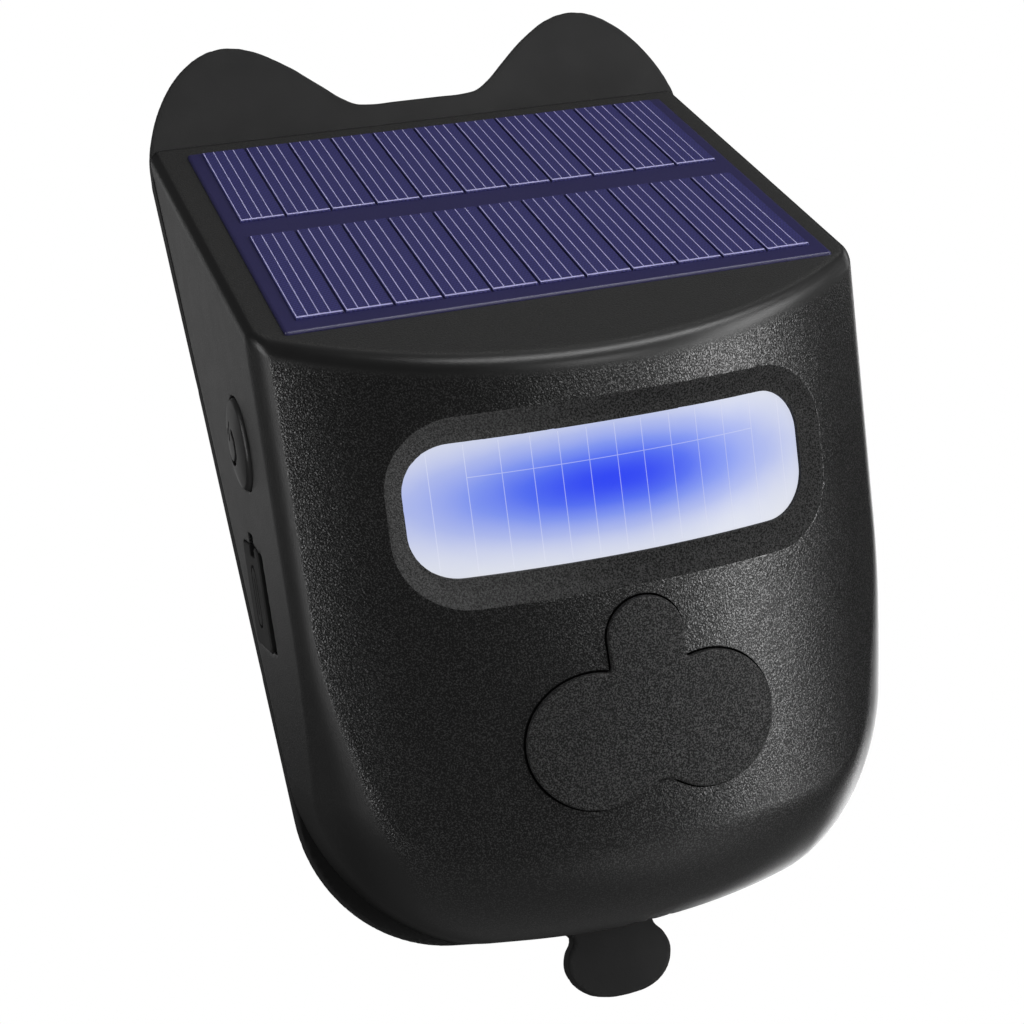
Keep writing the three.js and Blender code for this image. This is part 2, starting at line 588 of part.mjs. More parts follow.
add("window_lens", inFace(windowLens()), FINISH.lens);
add("light_reflector", inFace(lightReflector()), FINISH.reflector);
add("lamp_board", inFace(lampBoard()), FINISH.circuitBoard);
[-5.0, 5.0].forEach((x, i) => add(`strobe_led_${i + 1}`, inFace(strobeLed(x)), FINISH.led));
add("motion_sensor", inFace(motionSensor()), FINISH.motionSensor);
add("light_sensor", inFace(lightSensor()), FINISH.lightSensor);

// ------------------------------------------------------------- main circuit
const PARTS_Y = 10.8;         // parts start here, just behind the main board
const mainBoard = () => prismY(roundRect(74, 52, 2, 0, -38.0, 3), BOARD.front, BOARD.back,
  PEGS.map(([x, z]) => circle(1.3, x, z, 12)));
const boardScrew = (x, z) => lathe([
  [0, 3.6], [0.7, 3.6], [0.7, PARTS_Y], [2.1, PARTS_Y], [2.1, 11.6], [1.5, 12.1], [0, 12.2],
], 12).translate(x, 0, z);
const controlChip = () => box([-7, 7], [PARTS_Y, 12.6], [-34, -25]);
const driveCoil = () =>
  cut(cylinderY(4.6, PARTS_Y, 16.2, 14, -48, 28), cylinderY(1.6, 15.2, 17, 14, -48, 16));
const smoothingCapacitor = () => cylinderY(3.1, PARTS_Y, 19.0, -14, -48, 28);

add("main_board", inFace(mainBoard()), FINISH.circuitBoard);
PEGS.forEach(([x, z], i) =>
  add(`board_screw_${i + 1}`, inFace(boardScrew(x, z)), FINISH.screw));
add("control_chip", inFace(controlChip()), FINISH.chip);
add("drive_coil", inFace(driveCoil()), FINISH.coil);
add("smoothing_capacitor", inFace(smoothingCapacitor()), FINISH.capacitor);

// ------------------------------------------- side controls: button and socket
const sideBoard = () => prismX(roundRect(15.8, 37.5, 1.5, 20.6, -27.25, 2), -34.6, -33.4);
const tactSwitch = () => cut(
  box([-38.2, -34.8], about(BUTTON.y, 3), about(BUTTON.z, 3)),
  cylinderX(1.9, -40, -36.4, BUTTON.y, BUTTON.z, 20));
const tactPlunger = () => cylinderX(1.6, -39.6, -37.4, BUTTON.y, BUTTON.z, 20);

// domed cap with a retaining flange and a short stem
const powerButton = () => {
  const { radius } = BUTTON;
  const top = SIDE_X - BUTTON.proud;
  const flangeOut = -40.7;
  const flangeIn = -40.0;
  const stemEnd = -39.9;
  const profile = [];
  for (let i = 0; i <= 4; i++) {
    const domeR = (radius - 0.6) * i / 4;
    profile.push([domeR, top + 0.75 * (domeR / radius) ** 2]);
  }
  profile.push(
    [radius - 0.2, top + 0.95], [radius, top + 1.3],
    [radius, flangeOut], [radius + 1.3, flangeOut], [radius + 1.3, flangeIn],
    [1.8, flangeIn], [1.8, stemEnd], [0, stemEnd]);
  // the lathe axis Y becomes X
  return lathe(profile, 28).rotateZ(-Math.PI / 2).translate(0, BUTTON.y, BUTTON.z);
};

const chargingSocket = () => {
  const outline = (inset) => roundRect(SOCKET.height - 2 * inset, SOCKET.width - 2 * inset,
    SOCKET.radius - inset, FLAP.y, FLAP.z, 5);
  return cut(prismX(outline(0), -40.9, -34.9), prismX(outline(SOCKET.wall), -42, -35.8));
};
const socketTongue = () => box([-40.6, -36.1], about(FLAP.y, 0.35), about(FLAP.z, 3.3));

// rubber flap: plate with a rounded plug pad inside and a notch in its upper edge
const chargingFlap = () => {
  const outer = SIDE_X - 0.15;
  const plate = roundRect(FLAP.width, FLAP.height, FLAP.radius, FLAP.y, FLAP.z);
  const plug = roundRect(2.6, 8.6, 1.25, FLAP.y, FLAP.z);
  const notch = roundRect(3.6, 3.6, 0.4, NOTCH.y, NOTCH.z, 2);
  return cut(
    union(prismX(plate, outer, outer + FLAP.thickness), prismX(plug, SIDE_X + 1.0, SIDE_X + 2.0)),
    prismX(notch, -50, -30));
};

add("side_board", inFace(sideBoard()), FINISH.circuitBoard);
add("tact_switch", inFace(tactSwitch()), FINISH.tactSwitch);
add("tact_plunger", inFace(tactPlunger()), FINISH.plunger);
add("power_button", inFace(powerButton()), FINISH.button);
add("charging_socket", inFace(chargingSocket()), FINISH.socket);
add("socket_tongue", inFace(socketTongue()), FINISH.tongue);
add("charging_flap", inFace(chargingFlap()), FINISH.flap);

// ------------------------------------------------------------------ battery
const TRAY_WALL = 1.4;
const TRAY_X = about(BATTERY.x, BATTERY.length / 2 + 3.2);

const batteryCell = () => {
  const { radius, length, x, y, z } = BATTERY;
  const end = length / 2;
  return lathe([
    [0, -end], [radius - 0.6, -end], [radius, -end + 0.6], [radius, end - 1.6],
    [radius - 0.7, end - 0.9], [3.2, end - 0.9], [3.2, end], [0, end],
  ], 28).rotateZ(-Math.PI / 2).translate(x, y, z);
};
// tray open towards the front
const batteryTray = () => {
  const { radius, y, z } = BATTERY;
  const inner = [TRAY_X[0] + TRAY_WALL, TRAY_X[1] - TRAY_WALL];
  return cut(box(TRAY_X, [y - 3.0, y + radius + 1.6], about(z, radius + 1.6)),
    cylinderX(radius + GAP, ...inner, y, z, 28),
    box(inner, [y - 12, y], about(z, radius + GAP)));
};
const batteryContact = (x) =>
  box(about(x, 0.2), [BATTERY.y - 2.5, BATTERY.y + 4.5], about(BATTERY.z, 4));

add("battery_cell", batteryCell(), FINISH.battery);
add("battery_tray", batteryTray(), FINISH.tray);
add("battery_contact_left", batteryContact(TRAY_X[0] + 1.9), FINISH.contact);
add("battery_contact_right", batteryContact(TRAY_X[1] - 1.9), FINISH.contact);

// --------------------------------------------------------- ultrasonic sounder
// profile of [radius, height above the housing floor], turned about Z
const sounderTurned = (profile, sides) =>
  lathe(profile.map(([radius, height]) => [radius, SOUNDER.floor + height]), sides)
    .rotateX(Math.PI / 2).translate(0, SOUNDER.y, 0);
const sounderCan = () => {
  const { radius, height } = SOUNDER;
  return sounderTurned([
    [0, height - 0.6], [radius - 0.5, height - 0.6], [radius - 0.5, 1.7],
    [radius, 1.7], [radius, height + 0.9], [0, height + 0.9],
  ], 24);
};
const sounderCone = () => sounderTurned([
  [0, 4.6], [1.0, 4.6], [5.6, 2.2], [5.6, 2.6], [1.2, 5.4], [1.2, 8.2], [0, 8.2],
], 20);
const outletMesh = () =>
  cylinderZ(7.4, SOUNDER.floor + 0.95, SOUNDER.floor + 1.35, 0, SOUNDER.y, 32);

add("sounder_can", sounderCan(), FINISH.sounderCan);
add("sounder_cone", sounderCone(), FINISH.sounderCone);
add("outlet_mesh", outletMesh(), FINISH.mesh);

// -------------------------------------------------------------- front pad
add("nose_pad", inFace(padPlate(0, -PAD.proud, PAD.sunk - GAP)), FINISH.pad);

// -------------------------------------------------------------------- leads
// [X, Y, Z] points along the middle of each lead
const LEADS = {
  battery_lead_red: [
    [-31.4, -21.8, 28.0], [-31.0, -25.2, 22], [-28.2, -28.8, 12], [-25.6, -31.6, 3.5]],
  battery_lead_black: [
    [-31.6, -21.8, 20.0], [-31.2, -23.4, 14], [-28.8, -26.6, 6], [-26.4, -29.4, -2.0]],
  solar_lead_red: [
    [-27.1, -11.2, 51.7], [-27.1, -10.0, 48.0], [-27.0, -14.4, 41.8], [-26.6, -22.2, 36.8],
    [-25.4, -28.8, 28.5], [-22.6, -31.8, 16], [-20.4, -32.4, 5]],
  solar_lead_black: [
    [-24.9, -11.2, 51.7], [-24.9, -10.0, 48.0], [-24.6, -14.4, 41.8], [-23.9, -22.2, 36.8],
    [-22.6, -28.8, 28.5], [-19.8, -31.8, 16], [-17.4, -32.4, 5]],
  sounder_lead_red: [
    [2.2, -15.6, -50.2], [2.8, -13.6, -46], [4.6, -14.6, -38], [6.2, -18.4, -32.5]],
  sounder_lead_black: [
    [-2.2, -15.6, -50.2], [-2.4, -13.4, -46], [-0.6, -14.2, -38], [1.6, -18.2, -33.0]],
};
const lead = (points) => {
  const path = points.map((point) => new THREE.Vector3(...point));
  const extrudePath = new THREE.CatmullRomCurve3(path, false, "centripetal");
  const section = new THREE.Shape(vectors2(circle(LEAD_R, 0, 0, 6)));
  return new THREE.ExtrudeGeometry(section, { steps: 14, bevelEnabled: false, extrudePath });
};
for (const [name, points] of Object.entries(LEADS)) {
  add(name, lead(points), name.endsWith("red") ? FINISH.redLead : FINISH.blackLead);
}

export default root;
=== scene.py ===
"""Looks of a solar ultrasonic pest repeller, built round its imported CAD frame.

The front looks towards -Y, +Z is up and the back of the cover lies on y = 0.
Left means -X. Shapes are worked out in mm; make_mesh turns them into metres.

The body comes from distance fields (negative inside) that contour() turns into meshes.
Two slanted frames start at the fold line, where the front meets the panel slope:
  face frame   x, depth (into the body), height (up the leaning front)
  slope frame  x, along (up the 45 degree slope), out (away from it)
"""
import bpy
import json
import math
from functools import partialmethod, reduce

import numpy as np
from mathutils import Matrix, Vector


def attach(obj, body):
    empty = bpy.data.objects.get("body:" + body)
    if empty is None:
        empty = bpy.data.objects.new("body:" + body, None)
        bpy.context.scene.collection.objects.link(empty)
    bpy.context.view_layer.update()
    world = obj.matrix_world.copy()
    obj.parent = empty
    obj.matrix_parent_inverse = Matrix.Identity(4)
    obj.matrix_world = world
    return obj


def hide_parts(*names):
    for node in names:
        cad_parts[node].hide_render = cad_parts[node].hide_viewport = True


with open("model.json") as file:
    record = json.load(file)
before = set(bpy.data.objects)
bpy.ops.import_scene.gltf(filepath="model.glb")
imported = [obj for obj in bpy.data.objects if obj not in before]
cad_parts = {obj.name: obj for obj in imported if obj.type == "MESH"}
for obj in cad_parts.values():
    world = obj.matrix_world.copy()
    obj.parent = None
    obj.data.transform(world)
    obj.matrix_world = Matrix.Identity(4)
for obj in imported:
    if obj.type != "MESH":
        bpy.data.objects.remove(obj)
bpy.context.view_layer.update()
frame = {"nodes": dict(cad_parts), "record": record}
MM = 0.001

# ---------------------------------------------------------- driving sizes, mm
LEAN = math.radians(20.5)
SIN_LEAN, COS_LEAN = math.sin(LEAN), math.cos(LEAN)
ROOT_HALF = math.sqrt(0.5)
FOLD_Y, FOLD_Z = -49, 16
WALL = 2.3
HALF_WIDTH, TAPER = 43.3, 0.012             # half width at the fold, growth per mm up
FRONT_R, FRONT_CENTRE = 71.0, 57.0          # bowed front: radius, depth of its axis
BOTTOM_Z, BOTTOM_R = -66.9, 120.0           # lowest line of the bowed underside, its radius
CORNER_R, REAR_CORNER_R = 17.0, 23.0        # lower corners, at the front and at the back
FRONT_EDGE_R, FRONT_EDGE_GROWTH = 2.3, 9.7  # edge round the front, growth towards the bottom
SLOPE_EDGE_R = 1.8
COVER_SCREWS = [(-36.3, 40.0), (36.3, 40.0), (-33.2, -39.0), (33.2, -39.0)]  # x, z

# rounded rectangles: centre across, centre up, half width, half height, corner radius
SURROUND = (0.5, -24.95, 30.9, 12.55, 9.5)  # sunk band round the window
OPENING = (-0.3, -24.6, 27.9, 8.8, 6.3)
PAD_NECK = (0.0, -54.1, 5.2, 9.8, 1.5)
# raised pad under the window
PAD_TOP = (0.0, -44.3, 5.3)                 # x, height, radius
PAD_LOBE = (8.0, -57.2, 9.45, 9.2)          # x, height, half width, half height
# controls on the left side: depth, height
BUTTON = (19, -15)
FLAP = (24.5, -37.5)
FLAP_NOTCH = (23.2, -29.8)

PANEL_X = 0.4                               # middle of the solar panel
KEYHOLE_Z = 39.5

# the slanted frames as directions, with the shifts that bring their origin to the fold
DEPTH_AXIS = (0.0, COS_LEAN, SIN_LEAN)
HEIGHT_AXIS = (0.0, -SIN_LEAN, COS_LEAN)
OUT_AXIS = (0.0, -ROOT_HALF, ROOT_HALF)
DEPTH_SHIFT = -FOLD_Y * COS_LEAN - FOLD_Z * SIN_LEAN
HEIGHT_SHIFT = FOLD_Y * SIN_LEAN - FOLD_Z * COS_LEAN
OUT_SHIFT = -(FOLD_Z - FOLD_Y) * ROOT_HALF


# ------------------------------------------------------------ field vocabulary
def intersect(*fields):
    return reduce(np.maximum, fields)


def unite(*fields):
    return reduce(np.minimum, fields)


def subtract(solid, tool):
    return np.maximum(solid, -tool)


def round_intersect(first, second, radius):
    return (np.minimum(np.maximum(first, second), -radius)
            + np.hypot(np.maximum(first + radius, 0), np.maximum(second + radius, 0)))


def round_subtract(solid, tool, radius):
    return round_intersect(solid, -tool, radius)


def round_unite(first, second, radius):
    """Union with a fillet in the inner corner"""
    return -round_intersect(-first, -second, radius)


def between(value, low, high):
    return np.maximum(low - value, value - high)


def circle(u, v, centre_u, centre_v, radius):
    return np.hypot(u - centre_u, v - centre_v) - radius


def rounded_rect(u, v, centre_u, centre_v, half_u, half_v, radius):
    over_u = np.abs(u - centre_u) - half_u + radius
    over_v = np.abs(v - centre_v) - half_v + radius
    outside = np.hypot(np.maximum(over_u, 0), np.maximum(over_v, 0))
    return outside + np.minimum(np.maximum(over_u, over_v), 0) - radius


def smooth_ramp(value, start, end):
    part = np.clip((value - start) / (end - start), 0, 1)
    return part * part * (3 - 2 * part)


def local(solid, near, change, *coords, **sizes):
    """Apply a change only to the samples in its neighbourhood, to save time"""
    index = np.nonzero(near)[0]
    if index.size:
        solid[index] = change(solid[index], *(c[index] for c in coords), **sizes)


# ----------------------------------------------------- frames and outer form
def to_face(y, z):
    """Depth and height in the face frame"""
    return ((y - FOLD_Y) * COS_LEAN + (z - FOLD_Z) * SIN_LEAN,
            -(y - FOLD_Y) * SIN_LEAN + (z - FOLD_Z) * COS_LEAN)


def face_point(x, depth, height):
    return (x, FOLD_Y + depth * COS_LEAN - height * SIN_LEAN,
            FOLD_Z + depth * SIN_LEAN + height * COS_LEAN)


def slope_points(x, along, out):
    return np.stack([x, FOLD_Y + (along - out) * ROOT_HALF,
                     FOLD_Z + (along + out) * ROOT_HALF], -1)


def bow_inset(x, depth):
    """How far a point lies inside the bowed front"""
    return FRONT_R - np.hypot(x, depth - FRONT_CENTRE)


def half_width(z):
    return HALF_WIDTH + TAPER * (z - FOLD_Z)


def underside(x):
    return BOTTOM_Z + x * x / (2 * BOTTOM_R)


def body_form(x, y, z):
    side = np.abs(x) - half_width(z)
    bottom = underside(x) - z
    depth = to_face(y, z)[0]
    front = np.hypot(x, depth - FRONT_CENTRE) - FRONT_R
    slope = (z - y - (FOLD_Z - FOLD_Y)) * ROOT_HALF
    edge = FRONT_EDGE_R + FRONT_EDGE_GROWTH * smooth_ramp(-z, 20, -BOTTOM_Z)
    corner = CORNER_R + (REAR_CORNER_R - CORNER_R) * smooth_ramp(y, -32, -5)
    tube = round_intersect(side, bottom, corner)
    return round_intersect(round_intersect(tube, front, edge), slope, SLOPE_EDGE_R)


def pad_outline(x, height, grow):
    """Pad in the face frame: round top, short neck and two lobes"""
    top = circle(x, height, *PAD_TOP) - grow
    lobe_x, lobe_height, half_u, half_v = PAD_LOBE
    reach = np.hypot((np.abs(x) - lobe_x) / half_u, (height - lobe_height) / half_v)
    lobe = (reach - 1) * 9.32 - grow
    across, up, half_u, half_v, radius = PAD_NECK
    neck = rounded_rect(x, height, across, up, half_u + grow, half_v + grow, radius)
    return round_unite(round_unite(lobe, neck, 0.8), top, 0.4)


# ---------------------------------------------------------------- the mesher
GRID_BATCH = 24     # grid layers sampled at a time
CREASE = 0.975      # a mean normal shorter than this marks a crease
PULL = 0.04         # weight that holds a vertex near the mean of its crossings


def gradient(field, points, step):
    slope = np.empty_like(points)
    for i in range(3):
        below, above = points.copy(), points.copy()
        above[:, i] += step
        below[:, i] -= step
        slope[:, i] = field(*above.T) - field(*below.T)
    length = np.linalg.norm(slope, axis=1, keepdims=True)
    return slope / np.maximum(length, 1e-12)


def sample_grid(field, axes):
    values = np.empty(tuple(len(axis) for axis in axes), np.float32)
    for start in range(0, len(axes[0]), GRID_BATCH):
        part = slice(start, start + GRID_BATCH)
        x, y, z = np.meshgrid(axes[0][part], axes[1], axes[2], indexing="ij")
        values[part] = field(x.ravel(), y.ravel(), z.ravel()).reshape(x.shape)
    values[values == 0] = 1e-6
    return values


def axis_crossings(field, values, low, cell, axis):
    """Where grid edges along one axis meet the surface, and the four cells round each"""
    inside = values < 0
    lower, upper = [slice(None)] * 3, [slice(None)] * 3
    lower[axis], upper[axis] = slice(0, -1), slice(1, None)
    start = np.argwhere(inside[tuple(lower)] != inside[tuple(upper)])
    end = start.copy()
    end[:, axis] += 1
    value0 = values[tuple(start.T)].astype(float)
    value1 = values[tuple(end.T)].astype(float)
    starts_inside = value0 < 0
    base = low + start * cell
    step = np.zeros(3)
    step[axis] = cell
    t0, t1 = np.zeros(len(start)), np.ones(len(start))
    for _ in range(4):
        t = t0 + (t1 - t0) * np.clip(value0 / (value0 - value1), 0.08, 0.92)
        point = base + t[:, None] * step
        value = field(point[:, 0], point[:, 1], point[:, 2])
        same = (value < 0) == (value0 < 0)
        t0, value0 = np.where(same, t, t0), np.where(same, value, value0)
        t1, value1 = np.where(same, t1, t), np.where(same, value1, value)
    t = t0 + (t1 - t0) * value0 / (value0 - value1)
    cells = np.array(values.shape) - 1
    around = np.empty((len(start), 4), np.int64)
    for k, (shift_b, shift_c) in enumerate([(-1, -1), (0, -1), (0, 0), (-1, 0)]):
        at = start.copy()
        at[:, (axis + 1) % 3] += shift_b
        at[:, (axis + 2) % 3] += shift_c
        around[:, k] = (at[:, 0] * cells[1] + at[:, 1]) * cells[2] + at[:, 2]
    return base + t[:, None] * step, starts_inside, around


def fit_vertices(points, normals, owner, total):
    """Least-squares corner of each cell from its crossings, and which cells hold a crease"""
    def sums(weights):
        return np.bincount(owner, weights, total)

    count = np.bincount(owner, minlength=total).astype(float)
    centre = np.stack([sums(points[:, i]) for i in range(3)], -1) / count[:, None]
    mean = np.stack([sums(normals[:, i]) for i in range(3)], -1) / count[:, None]
    matrix = np.zeros((total, 3, 3))
    for i in range(3):
        for j in range(i, 3):
            matrix[:, i, j] = matrix[:, j, i] = sums(normals[:, i] * normals[:, j])
    offset = np.einsum("ij,ij->i", normals, points - centre[owner])
    target = np.stack([sums(normals[:, i] * offset) for i in range(3)], -1)
    matrix[:, range(3), range(3)] += PULL * count[:, None]
    vertices = centre + np.linalg.solve(matrix, target[:, :, None])[:, :, 0]
    return vertices, np.linalg.norm(mean, axis=1) < CREASE


def contour(field, low, high, cell):
    """Closed quad mesh of field = 0 with its corners kept: vertices, quads, corner normals"""
    low, high = np.array(low, float), np.array(high, float)
    count = np.ceil((high - low) / cell).astype(int) + 1
    values = sample_grid(field, [low[i] + cell * np.arange(count[i]) for i in range(3)])
    found = [axis_crossings(field, values, low, cell, axis) for axis in range(3)]
    points, starts_inside, around = (np.concatenate(part) for part in zip(*found))
    normals = gradient(field, points, 0.02)
    ids, owner = np.unique(around.ravel(), return_inverse=True)
    crossing = np.repeat(np.arange(len(points)), 4)
    vertices, crease = fit_vertices(points[crossing], normals[crossing], owner, len(ids))

    cells = count - 1
    place = np.stack([ids // (cells[1] * cells[2]), ids // cells[2] % cells[1],
                      ids % cells[2]], -1)
    corner = low + place * cell
    vertices = np.clip(vertices, corner - 0.05 * cell, corner + 1.05 * cell)
    flat = np.nonzero(~crease)[0]
    for _ in range(2):  # settle the smooth vertices on the surface
        slope = gradient(field, vertices[flat], 0.02)
        value = field(vertices[flat, 0], vertices[flat, 1], vertices[flat, 2])
        vertices[flat] -= np.clip(value, -0.3 * cell, 0.3 * cell)[:, None] * slope

    quads = owner.reshape(-1, 4)
    quads = np.where(starts_inside[:, None], quads, quads[:, ::-1])
    corner_normals = gradient(field, vertices, 0.03)[quads].reshape(-1, 3)
    # at a crease each face takes its normal a little towards its own middle
    middle = vertices[quads].mean(1)
    loops = np.nonzero(crease[quads].ravel())[0]
    at = vertices[quads.ravel()[loops]] * 0.68 + middle[loops // 4] * 0.32
    corner_normals[loops] = gradient(field, at, 0.03)
    return vertices, quads, corner_normals


def make_mesh(name, vertices, quads, normals=None, slots=None, smooth=True):
    mesh = bpy.data.meshes.new(name)
    mesh.vertices.add(len(vertices))
    mesh.vertices.foreach_set("co", (vertices * MM).astype(np.float32).ravel())
    mesh.loops.add(quads.size)
    mesh.loops.foreach_set("vertex_index", quads.astype(np.int32).ravel())
    mesh.polygons.add(len(quads))
    mesh.polygons.foreach_set("loop_start", np.arange(0, quads.size, 4, dtype=np.int32))
    if slots is not None:
        mesh.polygons.foreach_set("material_index", slots.astype(np.int32))
    mesh.update(calc_edges=True)
    mesh.polygons.foreach_set("use_smooth", np.full(len(quads), smooth, bool))
    if normals is not None:
        mesh.normals_split_custom_set(normals)
    return mesh


def add_piece(name, mesh, stands_for, *finishes, body="body"):
    """Object in place of one CAD piece; the first finish names its slot"""
    piece = bpy.data.objects.new(name, mesh)
    bpy.context.scene.collection.objects.link(piece)
    for finish in finishes:
        piece.data.materials.append(MATERIALS[finish])
    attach(piece, body)
    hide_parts(stands_for)


class Solid:
    """Collects closed blocks and strips into one mesh with several finishes"""
    def __init__(self):
        self.vertices, self.quads, self.slots, self.count = [], [], [], 0

    def add(self, vertices, quads, slot=0):
        self.vertices.append(vertices)
        self.quads.append(quads + self.count)
        self.slots.append(np.full(len(quads), slot))
        self.count += len(vertices)

    def mesh(self, name, smooth=False):
        return make_mesh(name, np.concatenate(self.vertices), np.concatenate(self.quads),
                         slots=np.concatenate(self.slots), smooth=smooth)


# ---------------------------------------------------------------- node builder
MATERIALS = {}


def linear(code):
    """sRGB hex code to linear values"""
    parts = [int(code[i:i + 2], 16) / 255 for i in (1, 3, 5)]
    return tuple(c / 12.92 if c <= 0.04045 else ((c + 0.055) / 1.055) ** 2.4 for c in parts)


def dim(color, factor):
    return tuple(min(1.0, c * factor) for c in color)


class Net:
    """Builds a node tree; sizes are in mm, colours are hex codes, linear triples or sockets"""
    def __init__(self, tree):
        self.tree = tree
        self.tree.nodes.clear()
        self.x = 0
        self.object_coords = None

    def node(self, kind, **props):
        node = self.tree.nodes.new(kind)
        self.x += 60
        node.location = (self.x, 0)
        for key, value in props.items():
            setattr(node, key, value)
        return node

    def put(self, socket, value):
        if isinstance(value, bpy.types.NodeSocket):
            self.tree.links.new(value, socket)
        else:
            socket.default_value = value

    def put_color(self, socket, color):
        if isinstance(color, str):
            color = linear(color)
        self.put(socket, (*color, 1.0) if isinstance(color, tuple) else color)

    def compute(self, operation, *values, clamp=False):
        node = self.node("ShaderNodeMath", operation=operation, use_clamp=clamp)
        for socket, value in zip(node.inputs, values):
            self.put(socket, value)
        return node.outputs[0]

    add = partialmethod(compute, "ADD")
    sub = partialmethod(compute, "SUBTRACT")
    mul = partialmethod(compute, "MULTIPLY")
    div = partialmethod(compute, "DIVIDE")
    max = partialmethod(compute, "MAXIMUM")
    min = partialmethod(compute, "MINIMUM")
    abs = partialmethod(compute, "ABSOLUTE")
    above = partialmethod(compute, "GREATER_THAN")
    below = partialmethod(compute, "LESS_THAN")

    def sum_of_squares(self, first, second):
        return self.add(self.mul(first, first), self.mul(second, second))

    def vector_math(self, operation, *vectors):
        node = self.node("ShaderNodeVectorMath", operation=operation)
        for socket, vector in zip(node.inputs, vectors):
            self.put(socket, vector)
        return node

    def dot(self, vector, axis):
        return self.vector_math("DOT_PRODUCT", vector, axis).outputs["Value"]

    def coords(self):
        if self.object_coords is None:
            self.object_coords = self.node("ShaderNodeTexCoord").outputs["Object"]
        return self.object_coords

    def position(self):
        """Object coordinates in mm"""
        node = self.vector_math("SCALE", self.coords())
        node.inputs["Scale"].default_value = 1000.0
        return node.outputs["Vector"]

    def scaled(self, size, squash=(1, 1, 1)):
        """Coordinates in which one unit is the given size"""
        node = self.node("ShaderNodeMapping")
        self.put(node.inputs["Vector"], self.coords())
        node.inputs["Scale"].default_value = [1000.0 / size * factor for factor in squash]
        return node.outputs["Vector"]

    def texture(self, kind, vector, output, settings, **props):
        node = self.node(kind, **props)
        self.put(node.inputs["Vector"], vector)
        for key, value in settings.items():
            node.inputs[key].default_value = value
        return node.outputs[output]

    def noise(self, size, detail=2.0, rough=0.5, squash=(1, 1, 1)):
        return self.texture("ShaderNodeTexNoise", self.scaled(size, squash), "Fac",
                            {"Scale": 1.0, "Detail": detail, "Roughness": rough})

    def voronoi(self, size, feature="SMOOTH_F1", randomness=1.0):
        settings = {"Scale": 1.0, "Randomness": randomness}
        if feature == "SMOOTH_F1":
            settings["Smoothness"] = 0.4
        return self.texture("ShaderNodeTexVoronoi", self.scaled(size), "Distance", settings,
                            feature=feature)

    def wave(self, direction, scale, distortion=0.0):
        return self.texture("ShaderNodeTexWave", self.scaled(1.0), "Fac",
                            {"Scale": scale, "Distortion": distortion},
                            wave_type="BANDS", bands_direction=direction)

    def remap(self, value, span, to=(0.0, 1.0), smooth=False):
        kind = "SMOOTHSTEP" if smooth else "LINEAR"
        node = self.node("ShaderNodeMapRange", interpolation_type=kind)
        self.put(node.inputs["Value"], value)
        limits = ("From Min", "From Max", "To Min", "To Max")
        for key, limit in zip(limits, (*span, *to)):
            node.inputs[key].default_value = limit
        return node.outputs["Result"]

    def ease(self, value, span, to=(0.0, 1.0)):
        return self.remap(value, span, to, smooth=True)

    def mix(self, factor, first, second):
        node = self.node("ShaderNodeMix", data_type="RGBA")
        self.put(node.inputs[0], factor)
        self.put_color(node.inputs[6], first)
        self.put_color(node.inputs[7], second)
        return node.outputs[2]

    def ramp(self, factor, stops):
        node = self.node("ShaderNodeValToRGB")
        self.put(node.inputs["Fac"], factor)
        elements = node.color_ramp.elements
        while len(elements) < len(stops):
            elements.new(0.5)
        for element, (position, color) in zip(elements, stops):
            element.position = position
            element.color = (*linear(color), 1.0)
        return node.outputs["Color"]

    def bump(self, height):
        node = self.node("ShaderNodeBump")
        node.inputs["Distance"].default_value = 0.001
        node.inputs["Strength"].default_value = 1.0
        self.put(node.inputs["Height"], height)
        return node.outputs["Normal"]

    def surface(self, color, rough, height, metal=0.0, spec=0.5, coat=0.0, coat_rough=0.1,
                emission=None, glow=0.0):
        """Principled surface over a relief height in mm, joined to the output"""
        normal = self.bump(height)
        shader = self.node("ShaderNodeBsdfPrincipled")
        self.put_color(shader.inputs["Base Color"], color)
        values = {"Roughness": rough, "Metallic": metal, "Specular IOR Level": spec,
                  "IOR": 1.5, "Normal": normal, "Coat Weight": coat,
                  "Coat Roughness": coat_rough}
        for key, value in values.items():
            self.put(shader.inputs[key], value)
        if emission is not None:
            self.put_color(shader.inputs["Emission Color"], emission)
            shader.inputs["Emission Strength"].default_value = glow
        self.output("ShaderNodeOutputMaterial", shader)

    def simple_shader(self, kind, color, strength=None):
        node = self.node(kind)
        self.put_color(node.inputs["Color"], color)
        if strength is not None:
            self.put(node.inputs["Strength"], strength)
        return node

    def mix_shader(self, factor, first, second):
        node = self.node("ShaderNodeMixShader")
        for socket, value in zip(node.inputs, (factor, first.outputs[0], second.outputs[0])):
            self.put(socket, value)
        return node

    def camera_ray(self):
        return self.node("ShaderNodeLightPath").outputs["Is Camera Ray"]

    def output(self, kind, shader):
        self.put(self.node(kind).inputs[0], shader.outputs[0])


def new_material(name):
    """File an empty material in MATERIALS and return its node builder"""
    MATERIALS[name] = bpy.data.materials.new(name)
    MATERIALS[name].use_nodes = True
    return Net(MATERIALS[name].node_tree)


